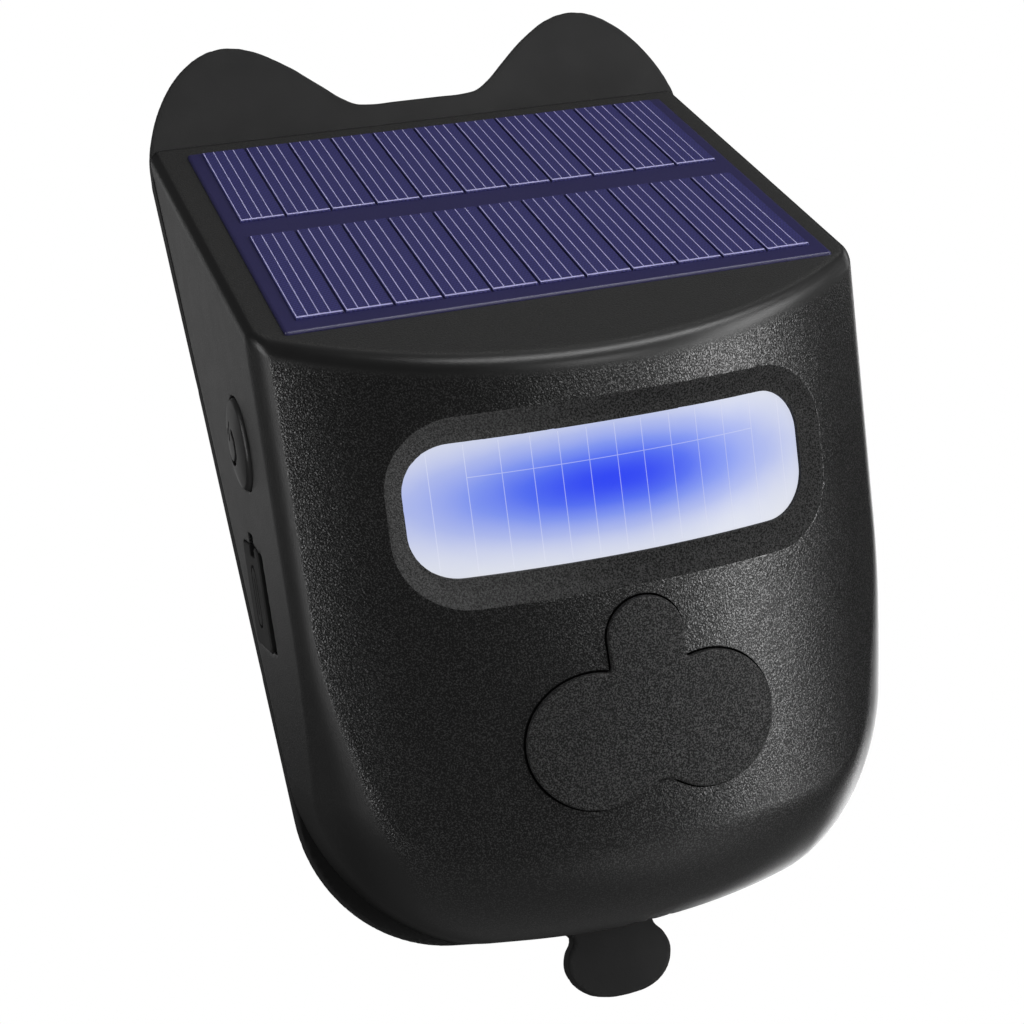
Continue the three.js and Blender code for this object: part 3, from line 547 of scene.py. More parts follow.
# ------------------------------------------------------------- plain finishes
def plastic(name, color, rough=0.5, grain=0.6, depth=0.02, fine=0.15, fine_depth=0.004,
            variation=0.15, spec=0.5, coat=0.0):
    """Moulded plastic: coarse and fine grain, slow shade drift, uneven polish"""
    color = linear(color)
    net = new_material(name)
    drift = net.noise(size=14.0, detail=3.0)
    speck = net.noise(size=fine * 2.2, detail=1.0)
    shade = net.add(net.mul(drift, 0.7), net.mul(speck, 0.3))
    shaded = net.mix(shade, dim(color, 1 - variation), dim(color, 1 + variation))
    height = net.add(net.mul(net.noise(size=grain, rough=0.55), depth),
                     net.mul(net.noise(size=fine, detail=1.0), fine_depth))
    polish = net.remap(net.noise(size=9.0), (0.3, 0.7), to=(rough - 0.08, rough + 0.08))
    net.surface(shaded, net.add(polish, 0.0, clamp=True), height, spec=spec, coat=coat)


def metal(name, color, rough):
    """Metal with faint brush marks and slow stains"""
    net = new_material(name)
    streak = net.noise(size=0.35, rough=0.6, squash=(1, 1, 8))
    stain = net.noise(size=3.0, detail=3.0)
    shaded = net.mix(stain, dim(color, 1 - 0.12), dim(color, 1 + 0.12))
    polish = net.remap(stain, (0.3, 0.75), to=(rough - 0.07, rough + 0.13))
    net.surface(shaded, polish, net.mul(streak, 0.002), metal=1.0)


# --------------------------------------------------- housing and pad finishes
def surround_mask(net, x, depth, height):
    """One on the band round the window"""
    across, up, half_u, half_v, radius = SURROUND

    def past(value, limit):
        return net.max(net.sub(net.abs(value), limit), 0.0)

    over_x = past(net.add(x, -across), half_u - radius)
    over_height = past(net.add(height, -up), half_v - radius)
    distance = net.compute("SQRT", net.sum_of_squares(over_x, over_height))
    return net.mul(net.below(distance, radius), net.below(depth, 0.0))


def pocket_shade_mask(net, x, depth, height):
    """One in the pocket behind the flap, where shade is painted in"""
    painted_shade = net.mul(net.above(x, -42.55), net.below(x, -39.0))
    painted_shade = net.mul(painted_shade, net.above(depth, 15.0))
    painted_shade = net.mul(painted_shade, net.below(height, -26.0))
    return net.mul(painted_shade, net.above(height, -46.0))


def groove_shade_mask(net, x, depth, height):
    """One in the open groove round the raised pad, where shade is painted in"""
    def ellipse(across, up, half_u, half_v):
        across, up = net.div(across, half_u), net.div(up, half_v)
        reach = net.compute("SQRT", net.sum_of_squares(across, up))
        return net.mul(net.sub(reach, 1.0), (half_u + half_v) / 2)

    off_centre = net.abs(x)
    lobe = ellipse(net.add(off_centre, -PAD_LOBE[0]), net.add(height, -PAD_LOBE[1]),
                   *PAD_LOBE[2:])
    top = ellipse(x, net.add(height, -PAD_TOP[1]), PAD_TOP[2], PAD_TOP[2])
    neck = net.max(net.sub(off_centre, PAD_NECK[2]),
                   net.sub(net.abs(net.add(height, -PAD_NECK[1])), PAD_NECK[3]))
    pad = net.min(net.min(lobe, top), neck)
    return net.mul(net.ease(pad, (0.24, 0.38), to=(1.0, 0.0)), net.below(depth, 5.0))


def housing_material():
    """Black plastic: coarse grain on the front, fine on the sides and the slope"""
    net = new_material("housing_plastic")
    normal = net.node("ShaderNodeNewGeometry").outputs["Normal"]
    point = net.position()
    x = net.dot(point, (1.0, 0.0, 0.0))
    depth = net.add(net.dot(point, DEPTH_AXIS), DEPTH_SHIFT)
    height = net.add(net.dot(point, HEIGHT_AXIS), HEIGHT_SHIFT)
    rim = net.add(net.dot(point, OUT_AXIS), OUT_SHIFT)
    slope_facing = net.dot(normal, OUT_AXIS)
    side_facing = net.abs(net.dot(normal, (1.0, 0.0, 0.0)))
    slope = net.ease(slope_facing, (0.93, 0.98))
    side = net.ease(side_facing, (0.80, 0.96))
    # the coarse grain stops short of the side edges and the rim, and thins at the bottom
    grain = net.ease(side_facing, (0.60, 0.70), to=(1.0, 0.0))
    grain = net.mul(grain, net.ease(rim, (-3.0, -1.5), to=(1.0, 0.0)))
    grain = net.mul(grain, net.ease(height, (-79.0, -66.0), to=(0.35, 1.0)))
    band = surround_mask(net, x, depth, height)
    painted_shade = pocket_shade_mask(net, x, depth, height)

    # relief in mm: beads, tooth and lumps where coarse, one fine noise elsewhere
    beads = net.voronoi(size=0.30, feature="F1")
    tooth = net.noise(size=0.19, detail=1.0)
    lumps = net.noise(size=0.9)
    coarse = net.add(net.mul(beads, -0.030), net.mul(tooth, 0.032))
    coarse = net.mul(net.add(coarse, net.mul(lumps, 0.008)), grain)
    fine = net.noise(size=0.26, rough=0.6)
    groove = groove_shade_mask(net, x, depth, height)
    fine_part = net.sub(1.0, grain, clamp=True)
    fine_depth = net.add(0.012, net.add(net.mul(slope, 0.075), net.mul(side, 0.055)))
    relief = net.add(coarse, net.mul(net.mul(fine, fine_part), fine_depth))

    # colour
    def speckled(dark, light):
        return net.mix(net.remap(fine, (0.35, 0.65)), dark, light)

    base = net.mix(net.noise(size=22.0, detail=3.0), "#141414", "#191919")
    base = net.mix(side, base, speckled("#1c1c1c", "#2a2a2a"))
    base = net.mix(slope, base, speckled("#1c1c1c", "#2c2c2b"))
    # painted shade: the band is coloured lighter on the left and darker on the right, as the
    # light falls on it
    matt = net.mix(net.ease(x, (-28.0, 4.0)), "#484848", "#1c1c1c")
    speck = net.ease(net.noise(size=0.22, rough=0.6), (0.38, 0.64))
    band_color_with_shading = net.mix(speck, net.mix(0.45, matt, "#0c0c0c"), net.mix(0.10, matt, "#a0a0a0"))
    base = net.mix(band, base, band_color_with_shading)
    # painted shade: the flap pocket and the open groove round the raised pad are coloured near
    # black where shade falls
    painted_shade = net.max(painted_shade, groove)
    base = net.mix(painted_shade, base, "#060606")

    # roughness: coarse grain and a line along the rim are shinier, band and pockets matt
    shine = net.mul(net.ease(rim, (-2.2, -1.3)), net.ease(rim, (-0.35, -0.02), to=(1.0, 0.0)))
    rough = net.add(net.mul(grain, -0.14), 0.43)
    rough = net.sub(rough, net.mul(shine, 0.12))
    rough = net.add(rough, net.add(net.mul(slope, 0.12), net.mul(side, 0.04)))
    rough = net.add(rough, net.remap(net.noise(size=3.0), (0.3, 0.7), to=(-0.015, 0.015)))
    rough = net.max(rough, net.mul(net.max(band, painted_shade), 0.7))

    # reflection: glints in the coarse grain, little on the band, none in the pockets, which
    # deepens the painted shade there
    glint = net.ease(net.noise(size=0.21, rough=0.65), (0.46, 0.66), to=(0.26, 1.55))
    spec = net.add(net.mul(net.sub(glint, 0.5), grain), 0.5)
    dulled = net.max(net.mul(band, 0.82), painted_shade)
    spec = net.mul(spec, net.sub(1.0, dulled, clamp=True))
    net.surface(base, rough, relief, spec=spec)


def nose_material():
    """Matt pad with a dense sparkling grain"""
    net = new_material("nose_plastic")
    speck = net.noise(size=0.22, rough=0.65)
    beads = net.voronoi(size=0.32, feature="F1")
    drift = net.noise(size=9.0)
    color = net.mix(net.ease(speck, (0.42, 0.64)), "#1b1b1b", "#3c3c3c")
    color = net.mix(net.remap(drift, (0.3, 0.7), to=(0.0, 0.25)), color, "#2c2c2c")
    height = net.add(net.mul(beads, -0.03), net.mul(speck, 0.04))
    spec = net.ease(speck, (0.46, 0.66), to=(0.10, 0.62))
    net.surface(color, net.remap(drift, (0.3, 0.7), to=(0.5, 0.56)), height, spec=spec)


# ----------------------------------------------------------- patterned finishes
def board_material():
    """Green board with raised tracks over a faint weave"""
    net = new_material("circuit_board")
    weave = net.noise(size=0.35, detail=1.0, squash=(1, 3, 1))
    cracks = net.voronoi(size=3.2, feature="DISTANCE_TO_EDGE", randomness=0.75)
    track = net.remap(cracks, (0.05, 0.075), to=(1.0, 0.0))
    color = net.mix(track, net.mix(weave, "#174b2c", "#1f5f39"), "#2f7d4c")
    height = net.add(net.mul(track, 0.03), net.mul(weave, 0.004))
    net.surface(color, rough=0.38, height=height, coat=0.3)


def coil_material():
    net = new_material("coil_body")
    turns = net.wave("Y", scale=1.2, distortion=0.6)
    color = net.mix(turns, "#241d1a", "#4d3529")
    net.surface(color, rough=0.5, height=net.mul(turns, 0.05))


def foam_material():
    net = new_material("foam_tape")
    bubbles = net.voronoi(size=0.5)
    color = net.mix(bubbles, "#121212", "#262626")
    net.surface(color, rough=0.9, height=net.mul(bubbles, 0.08))


def cloth_material():
    net = new_material("mesh_cloth")
    threads = net.max(net.wave("X", scale=1.3), net.wave("Y", scale=1.3))
    color = net.mix(threads, "#050505", "#2b2b2b")
    net.surface(color, rough=0.7, height=net.mul(threads, 0.08))


def led_material():
    net = new_material("led_package")
    cloud = net.noise(size=0.8)
    color = net.mix(cloud, "#e0dcc0", "#f2efdc")
    net.surface(color, rough=0.3, height=net.mul(cloud, 0.01), emission=(0.08, 0.16, 1.0),
                glow=1.5)


def panel_material():
    """Navy laminate of the panel, smooth and slightly wavy"""
    net = new_material("panel_laminate")
    waves = net.noise(size=12.0)
    fine = net.noise(size=0.3, detail=1.0)
    color = net.mix(waves, "#292750", "#2f2c57")
    height = net.add(net.mul(waves, 0.02), net.mul(fine, 0.0015))
    rough = net.remap(fine, (0.2, 0.8), to=(0.3, 0.4))
    net.surface(color, rough, height, spec=0.4, coat=0.08, coat_rough=0.2)


def cell_material():
    """Cells with the fine slanting saw marks of the wafer"""
    net = new_material("solar_cell")
    across = net.dot(net.coords(), (1000.0, 0, 0))
    along = net.dot(net.coords(), (0, 1000.0 * ROOT_HALF, 1000.0 * ROOT_HALF))

    def marks(operation, slant, density):
        line = net.compute(operation, net.mul(across, 1.0), net.mul(along, slant))
        return net.compute("SINE", net.mul(line, density))

    hatch = marks("ADD", slant=0.9, density=9.5)
    cross = marks("SUBTRACT", slant=0.5, density=13.0)
    pattern = net.add(net.add(net.mul(hatch, 0.35), net.mul(cross, 0.15)), 0.5)
    drift = net.noise(size=7.0, detail=3.0)
    color = net.mix(pattern, "#22214e", "#454381")
    color = net.mix(net.mul(drift, 0.35), color, "#363565")
    rough = net.remap(drift, (0.3, 0.7), to=(0.35, 0.45))
    net.surface(color, rough, net.mul(pattern, 0.006), spec=0.35, coat=0.05, coat_rough=0.25)


def finger_material():
    net = new_material("cell_fingers")
    cloud = net.noise(size=0.5)
    color = net.mix(cloud, "#b9b6ea", "#d6d3ff")
    net.surface(color, rough=0.35, height=net.mul(cloud, 0.004), metal=0.2)


# colour of the lit window from its core outwards
GLOW_STOPS = [(0.0, "#1c3cf3"), (0.25, "#4e6bf1"), (0.5, "#7e94ef"), (0.75, "#adb9ec"),
              (1.0, "#e2e5ec")]


def lens_material(name, ribs=False):
    """Milky window lit from behind: a blue core that fades to lavender white"""
    net = new_material(name)
    point = net.position()
    across = net.add(net.dot(point, (1.0, 0.0, 0.0)), 0.5)
    up = net.add(net.dot(point, HEIGHT_AXIS), HEIGHT_SHIFT + 23.4)
    # the core reaches 23.3 mm to the left, 4.1 mm less to the right, and 5.6 mm up and down
    reach = net.add(23.3, net.mul(net.above(across, 0.0), -4.1))
    spread = net.sum_of_squares(net.div(across, reach), net.div(up, 5.6))
    fade = net.sub(1.0, net.compute("EXPONENT", net.mul(spread, -1.0)))
    unevenness = net.mul(net.sub(net.noise(size=5.0), 0.5), 0.05)
    color = net.ramp(net.add(fade, unevenness, clamp=True), GLOW_STOPS)
    if ribs:
        color = net.mix(0.35, color, "#e9ecfb")
    height = net.mul(net.noise(size=0.8), 0.006)
    net.surface((0.02, 0.02, 0.03), rough=0.3, height=height, spec=0.12, emission=color,
                glow=0.97)


housing_material()
plastic("cover_plastic", "#272727", rough=0.7, grain=0.35, depth=0.01, fine=0.14,
        fine_depth=0.005, variation=0.06, spec=0.2)
nose_material()
plastic("button_plastic", "#262626", rough=0.42, grain=0.3, depth=0.006, fine=0.12,
        fine_depth=0.003, variation=0.10)
plastic("flap_rubber", "#262626", rough=0.66, grain=0.28, depth=0.01, fine=0.1,
        variation=0.12, spec=0.35)
plastic("seal_rubber", "#17181a", rough=0.6, grain=0.3, depth=0.008)
plastic("inner_plastic", "#1e1e20", rough=0.55)
plastic("white_plastic", "#ecece8", rough=0.45, grain=0.5, depth=0.006, variation=0.04)
plastic("ivory_plastic", "#d8d2c0", rough=0.45, grain=0.4, depth=0.005, variation=0.06)
plastic("chip_plastic", "#151515", grain=0.16, depth=0.006, fine=0.06)
plastic("battery_sleeve", "#2c6aae", rough=0.3, grain=2.5, depth=0.01, variation=0.1, coat=0.4)
metal("screw_steel", (0.52, 0.53, 0.55), rough=0.28)
metal("bright_metal", (0.66, 0.67, 0.69), rough=0.25)
metal("contact_metal", (0.75, 0.62, 0.34), rough=0.28)
plastic("lead_red", "#a81f1b", rough=0.42, grain=0.8, depth=0.01)
plastic("lead_black", "#161616", rough=0.42, grain=0.8, depth=0.01)
plastic("sensor_orange", "#b9582e", rough=0.35, grain=0.5, depth=0.01, variation=0.25, coat=0.5)
board_material()
coil_material()
foam_material()
cloth_material()
led_material()
panel_material()
cell_material()
finger_material()
lens_material("lens_plastic")
lens_material("lens_ribs", ribs=True)


# ------------------------------------------------------------------- housing
HOUSING_BACK_Y = -3.14


def window_boss(solid, x, height, inset):
    """Thicker wall behind the window"""
    boss = rounded_rect(x, height, 0, -24.9, 32.8, 14.35, 11.5)
    return unite(solid, intersect(boss, between(inset, 1.2, 5.0)))


def flap_backing(solid, x, depth, height):
    """Thicker wall behind the charging flap"""
    pad = rounded_rect(depth, height, 22.7, -37.0, 7.1, 7.7, 1.5)
    return unite(solid, intersect(pad, between(x, -42.1, -39.1)))


def screw_post(solid, x, y, z, post_x, post_z):
    """Bored boss for a cover screw, with a web to the side wall"""
    post = circle(x, z, post_x, post_z, 3.4)
    web = intersect(np.abs(z - post_z) - 1.4, (post_x - x) * np.sign(post_x),
                    np.abs(x) - 42.2)
    solid = unite(solid, intersect(unite(post, web), between(y, -15.5, -5.3)))
    return subtract(solid, intersect(circle(x, z, post_x, post_z, 1.25), -14.6 - y))


def board_peg(solid, x, depth, height, inset, peg_x, peg_height):
    """Bored peg standing on the inside of the front"""
    reach = np.hypot(x - peg_x, height - peg_height)
    solid = unite(solid, intersect(reach - 2.6, depth - 8.7, 1.2 - inset))
    return subtract(solid, intersect(reach - 0.9, between(depth, 2.5, 9.5)))


def window_cut(solid, x, depth, height, inset):
    """Tapered surround and the opening in it"""
    around = rounded_rect(x, height, *SURROUND)
    solid = round_subtract(solid, intersect((inset + 0.25 * around) / 1.03, inset - 0.6), 0.0)
    opening = rounded_rect(x, height, *OPENING)
    return round_subtract(solid, intersect(opening, depth - 12), 0.0)


def pad_recess(solid, x, height, inset):
    return round_subtract(solid, intersect(pad_outline(x, height, -0.35), inset - 0.8), 0.1)


def panel_recess(solid, x, along, out):
    """Recess for the solar panel and the hole for its leads"""
    recess = intersect(rounded_rect(x, along, PANEL_X, 30.5, 38.7, 30.2, 0.4), -1.5 - out)
    solid = round_subtract(solid, recess, 0.3)
    return subtract(solid, intersect(circle(x, along, -26, 52, 2.6), np.abs(out + 3) - 6))


def control_cuts(solid, x, depth, height):
    """Button hole, flap recess with its groove and notch, and the socket opening"""
    hole = circle(depth, height, *BUTTON, 6.66)
    solid = round_subtract(solid, intersect(hole, x + 30), 0.35)
    recess = intersect(rounded_rect(depth, height, *FLAP, 5.4, 7.7, 1.4), x + 41.35)
    groove = intersect(rounded_rect(depth, height, 17.95, -37.5, 1.35, 7.2, 0.5), x + 41.6)
    notch = intersect(rounded_rect(depth, height, *FLAP_NOTCH, 1.5, 1.6, 0.4), x + 41.6)
    solid = round_subtract(solid, unite(recess, groove, notch), 0.22)
    socket = rounded_rect(depth, height, *FLAP, 2.5, 5.5, 2.4)
    return subtract(solid, intersect(socket, x + 30))


SLOTS_Y, SLOT_PITCH, SLOT_CIRCLE_R = -15.6, 2.8, 7


def sound_slots(solid, x, y):
    """Five slots through the bottom whose ends lie on a circle"""
    for i in range(-2, 3):
        offset = SLOT_PITCH * i
        half_length = math.sqrt(SLOT_CIRCLE_R ** 2 - offset * offset)
        slot = rounded_rect(x, y, offset, SLOTS_Y, 0.75, half_length, 0.74)
        solid = round_subtract(solid, slot, 0.3)
    return solid


def housing_field(x, y, z):
    base = body_form(x, y, z)
    solid = round_intersect(base, y - HOUSING_BACK_Y, 0.2)
    solid = round_subtract(solid, base + WALL, 0.3)
    depth, height = to_face(y, z)
    inset = bow_inset(x, depth)
    front = (inset < 12) & (y < -8)
    off_centre = np.abs(x)

    near = front & (off_centre < 35) & (between(height, -42, -8) < 0)
    local(solid, near, window_boss, x, height, inset)
    near = (x < -37) & (np.abs(depth - 22.7) < 9) & (np.abs(height + 37) < 10)
    local(solid, near, flap_backing, x, depth, height)
    for post_x, post_z in COVER_SCREWS:
        near = (np.abs(x - post_x) < 9) & (np.abs(z - post_z) < 5) & (y > -17)
        local(solid, near, screw_post, x, y, z, post_x=post_x, post_z=post_z)
    for peg_x in (-34.2, 34.2):
        for peg_height in (-15.0, -58.0):
            near = (np.abs(x - peg_x) < 4) & (np.abs(height - peg_height) < 4)
            near &= (depth < 12) & (inset > 1.0)
            local(solid, near, board_peg, x, depth, height, inset,
                  peg_x=peg_x, peg_height=peg_height)
    near = front & (off_centre < 34) & (between(height, -40, -10) < 0)
    local(solid, near, window_cut, x, depth, height, inset)
    near = front & (off_centre < 20) & (between(height, -68, -37) < 0) & (inset < 3)
    local(solid, near, pad_recess, x, height, inset)
    along = (y - FOLD_Y + z - FOLD_Z) * ROOT_HALF
    out = (z - FOLD_Z - y + FOLD_Y) * ROOT_HALF
    local(solid, (out > -5) & (along > -3), panel_recess, x, along, out)
    near = (x < -30) & (between(depth, 10, 33) < 0) & (between(height, -47, -6) < 0)
    local(solid, near, control_cuts, x, depth, height)
    near = (z < -58) & (off_centre < 9) & (np.abs(y - SLOTS_Y) < 9.5)
    local(solid, near, sound_slots, x, y)
    return solid


def contoured_mesh(name, field, low, high, cell):
    return make_mesh(name, *contour(field, low, high, cell))


add_piece("front_housing_shell",
          contoured_mesh("front_housing_shell", housing_field, (-45.3, -60.6, -67.6),
                         (45.3, -1.6, 63.6), cell=0.56),
          "front_housing", "housing_plastic")

# ---------------------------------------------------------------- rear cover
# right half of the outline above the body, from the middle outwards: x, z
EAR = [
    (0.0, 65.5), (3.8, 65.5), (7.5, 65.5), (10, 65.9), (12.2, 67.2), (15.2, 69.8),
    (18.4, 72.6), (21, 74.5), (24, 76.3), (27, 77.3), (29.5, 77.5), (32.5, 76.8),
    (35.5, 75), (38.3, 72.3), (40.6, 69), (42.4, 65.3), (43.5, 61.5), (43.93, 57),
]
# right half of the tab below the body, down to its tip: x, z
TAIL = [
    (8.2, underside(8.2)), (7.1, -66.85), (6.3, -67.5), (6.5, -68.4), (7.3, -69.4),
    (7.9, -70.8), (8.0, -72.2), (7.5, -73.8), (6.4, -75.3), (4.7, -76.5), (2.5, -77.15),
    (0, -77.3),
]


def smooth_curve(points, steps=6):
    """Centripetal Catmull-Rom curve through the points"""
    points = np.array(points, float)
    padded = np.vstack([2 * points[0] - points[1], points, 2 * points[-1] - points[-2]])
    curve = []
    for i in range(1, len(padded) - 2):
        near = padded[i - 1:i + 3]
        knots = [0.0]
        for start, end in zip(near, near[1:]):
            knots.append(knots[-1] + np.linalg.norm(end - start) ** 0.5)

        def blend(at, first, last, start, end):
            width = knots[last] - knots[first]
            return (knots[last] - at) / width * start + (at - knots[first]) / width * end

        for k in range(steps):
            at = knots[1] + (knots[2] - knots[1]) * k / steps
            lines = [blend(at, j, j + 1, near[j], near[j + 1]) for j in range(3)]
            arcs = [blend(at, j, j + 2, lines[j], lines[j + 1]) for j in range(2)]
            curve.append(blend(at, 1, 2, *arcs))
    curve.append(points[-1])
    return np.array(curve)


def cover_outline():
    """Ear, side, rounded lower corner, underside and tail, then mirrored"""
    centre_x = half_width(-44) - REAR_CORNER_R
    centre_z = BOTTOM_Z + BOTTOM_R - math.sqrt((BOTTOM_R - REAR_CORNER_R) ** 2 - centre_x ** 2)
    turn = np.linspace(0, math.acos(centre_x / (BOTTOM_R - REAR_CORNER_R)), 24)
    corner = np.stack([centre_x + REAR_CORNER_R * np.cos(turn),
                       centre_z - REAR_CORNER_R * np.sin(turn)], -1)
    half = np.vstack([
        smooth_curve(EAR),
        [[half_width(z), z] for z in (20, -20)],
        corner,
        [[x, underside(x)] for x in (17, 14, 11.5, 9.5)],
        smooth_curve(TAIL),
    ])
    return np.vstack([half, half[-2:0:-1] * [-1, 1]])


def polygon_distance(outline, x, z):
    nearest = np.full(x.shape, 1e9)
    inside = np.zeros(x.shape, bool)
    for (x0, z0), (x1, z1) in zip(outline, np.roll(outline, -1, 0)):
        dx, dz = x1 - x0, z1 - z0
        t = np.clip(((x - x0) * dx + (z - z0) * dz) / (dx * dx + dz * dz), 0, 1)
        nearest = np.minimum(nearest, (x - x0 - t * dx) ** 2 + (z - z0 - t * dz) ** 2)
        if abs(dz) > 1e-12:
            crosses = (z0 > z) != (z1 > z)
            inside ^= crosses & (x < dx * (z - z0) / dz + x0)
    nearest = np.sqrt(nearest)
    return np.where(inside, -nearest, nearest)


# the distance is tabled once on a grid and read back with cubic weights
GRID_STEP = 0.5
GRID_X, GRID_Z = np.arange(-48, 48.01, GRID_STEP), np.arange(-82, 82.01, GRID_STEP)
OUTLINE_GRID = polygon_distance(cover_outline(), *np.meshgrid(GRID_X, GRID_Z, indexing="ij"))


def cubic_weights(t):
    return (-0.5 * t + t * t - 0.5 * t ** 3, 1 - 2.5 * t * t + 1.5 * t ** 3,
            0.5 * t + 2 * t * t - 1.5 * t ** 3, -0.5 * t * t + 0.5 * t ** 3)


def outline_distance(x, z):
    u, v = (x - GRID_X[0]) / GRID_STEP, (z - GRID_Z[0]) / GRID_STEP
    i = np.clip(u.astype(int), 1, len(GRID_X) - 3)
    j = np.clip(v.astype(int), 1, len(GRID_Z) - 3)
    weights_u, weights_v = cubic_weights(u - i), cubic_weights(v - j)
    total = np.zeros(x.shape)
    for a in range(4):
        row = np.zeros(x.shape)
        for b in range(4):
            row += weights_v[b] * OUTLINE_GRID[i + a - 1, j + b - 1]
        total += weights_u[a] * row
    return total


def cover_inside(solid, x, y, z):
    """Lip that fits inside the housing wall, and the dome behind the keyhole"""
    form = body_form(x, np.full(len(x), -5.0), z)
    lip = intersect(between(form, -5.9, -4.3), between(y, -5.0, -2.5))
    dome = rounded_rect(x, z, 0, KEYHOLE_Z, 6.5, 10.5, 5.0)
    dome = round_intersect(dome, -6.2 - y, 1.0)
    return unite(solid, lip, intersect(dome, y + 2.5))


def screw_seat(solid, x, y, z, seat_x, seat_z):
    """Collar, through hole and head pocket of a cover screw"""
    reach = np.hypot(x - seat_x, z - seat_z)
    solid = unite(solid, intersect(reach - 3.2, between(y, -5.0, -2.5)))
    solid = subtract(solid, reach - 1.6)
    return round_subtract(solid, intersect(reach - 3.2, -2.0 - y), 0.3)


def keyhole(solid, x, y, z):
    """Hanging keyhole with a wider hollow behind its slot"""
    hole = unite(circle(x, z, 0, 34, 4.2), rounded_rect(x, z, 0, KEYHOLE_Z, 2.1, 6.0, 2.09))
    solid = round_subtract(solid, intersect(hole, -4.7 - y), 0.3)
    hollow = rounded_rect(x, z, 0, KEYHOLE_Z, 4.2, 6.5, 4.15)
    return subtract(solid, intersect(hollow, between(y, -4.7, -1.9)))


def cover_field(x, y, z):
    solid = round_intersect(outline_distance(x, z), np.abs(y + 1.5) - 1.5, 0.3)
    local(solid, y < -2.2, cover_inside, x, y, z)
    for seat_x, seat_z in COVER_SCREWS:
        near = (np.abs(x - seat_x) < 5) & (np.abs(z - seat_z) < 5)
        local(solid, near, screw_seat, x, y, z, seat_x=seat_x, seat_z=seat_z)
    local(solid, (np.abs(x) < 9) & (np.abs(z - 38) < 13), keyhole, x, y, z)
    return solid


add_piece("rear_cover_plate",
          contoured_mesh("rear_cover_plate", cover_field, (-45.6, -7.1, -78.9),
                         (45.6, 0.9, 79.1), cell=0.55),
          "rear_cover", "cover_plastic")


# ------------------------------------------------------------------ nose pad
def nose_field(x, y, z):
    depth, height = to_face(y, z)
    inset = bow_inset(x, depth)
    pad = round_intersect(pad_outline(x, height, 0.0), -0.85 - inset, 0.3)
    return intersect(pad, inset - 0.5)


add_piece("nose_pad_top",
          contoured_mesh("nose_pad_top", nose_field, (-19.3, -51.5, -54.0),
                         (19.3, -32.0, -20.0), cell=0.3),
          "nose_pad", "nose_plastic")

# ---------------------------------------------------------------------- lens
RIBS = [-24.65, -20.0, -15.6, -11.6, -7.95, -4.2, -0.4, 3.3, 7.35, 11.3, 15.45, 19.95, 24.8]
RIB_HALF_WIDTH = 0.05
RIB_INSETS = (1.4, 1.26)                    # inner and outer side, inside the bowed front
RIB_AREA = (27.8, 8.7, 6.2)                 # half width, half height, corner radius
RIB_END_GAP = 0.35
CROSS_RIB = (-20.0, 20.0, -20.56, -20.46)   # x from, x to, height from, height to


def lens_field(x, y, z):
    depth, height = to_face(y, z)
    inset = bow_inset(x, depth)
    centre = OPENING[:2]
    plate = rounded_rect(x, height, *centre, 28.1, 9.0, 6.5)
    plate = round_intersect(plate, between(inset, 1.3, 5.6), 0.1)
    flange = rounded_rect(x, height, *centre, 30.0, 10.9, 8.4)
    return unite(plate, intersect(flange, np.abs(inset - 5.9) - 0.6))


def bowed_strip(x0, x1, height0, height1, steps_x, steps_z):
    """Thin closed rib that follows the bowed window"""
    columns, rows = steps_x + 1, steps_z + 1
    points = []
    for inset in RIB_INSETS:
        for x in np.linspace(x0, x1, columns):
            depth = FRONT_CENTRE - math.sqrt((FRONT_R - inset) ** 2 - x * x)
            for height in np.linspace(height0, height1, rows):
                points.append(face_point(x, depth, height))

    def at(layer, i, j):
        return (layer * columns + i) * rows + j

    quads = []
    for i in range(steps_x):
        for j in range(steps_z):
            quads.append((at(1, i, j), at(1, i + 1, j), at(1, i + 1, j + 1), at(1, i, j + 1)))
            quads.append((at(0, i, j + 1), at(0, i + 1, j + 1), at(0, i + 1, j), at(0, i, j)))
    end = steps_z
    for i in range(steps_x):
        quads.append((at(0, i, 0), at(0, i + 1, 0), at(1, i + 1, 0), at(1, i, 0)))
        quads.append((at(1, i, end), at(1, i + 1, end), at(0, i + 1, end), at(0, i, end)))
    end = steps_x
    for j in range(steps_z):
        quads.append((at(0, 0, j + 1), at(0, 0, j), at(1, 0, j), at(1, 0, j + 1)))
        quads.append((at(0, end, j), at(0, end, j + 1), at(1, end, j + 1), at(1, end, j)))
    return np.array(points), np.array(quads)


def build_lens():
    vertices, quads, normals = contour(lens_field, (-30.5, -59.5, -25.0), (30.5, -28.0, 8.0),
                                       0.42)
    lens = Solid()
    lens.add(vertices, quads)
    centre_x, centre_height = OPENING[:2]
    half_u, half_v, radius = RIB_AREA
    for x in RIBS:
        into_corner = max(0.0, abs(x - centre_x) - (half_u - radius))
        rise = math.sqrt(max(0.0, radius ** 2 - into_corner ** 2))
        half = half_v - radius + rise - RIB_END_GAP
        lens.add(*bowed_strip(x - RIB_HALF_WIDTH, x + RIB_HALF_WIDTH, centre_height - half,
                              centre_height + half, steps_x=1, steps_z=2), slot=1)
    lens.add(*bowed_strip(*CROSS_RIB, steps_x=20, steps_z=1), slot=1)
    mesh = lens.mesh("window_lens_lit", smooth=True)
    loop_normals = np.zeros((len(mesh.loops), 3))  # zero leaves the ribs their own normals
    loop_normals[:len(normals)] = normals
    mesh.normals_split_custom_set(loop_normals)
    add_piece("window_lens_lit", mesh, "window_lens", "lens_plastic", "lens_ribs")


build_lens()

# -------------------------------------------------------------- power button
BUTTON_R, BUTTON_TOP, BUTTON_DOME = 6.5, 44.6, 0.95  # radius, reach to the left, dome rise
ICON_R, ICON_GAP, ICON_STROKE = 2.5, 0.62, 0.34      # ring radius, half gap (rad), half stroke
ICON_DEPTH = 0.42


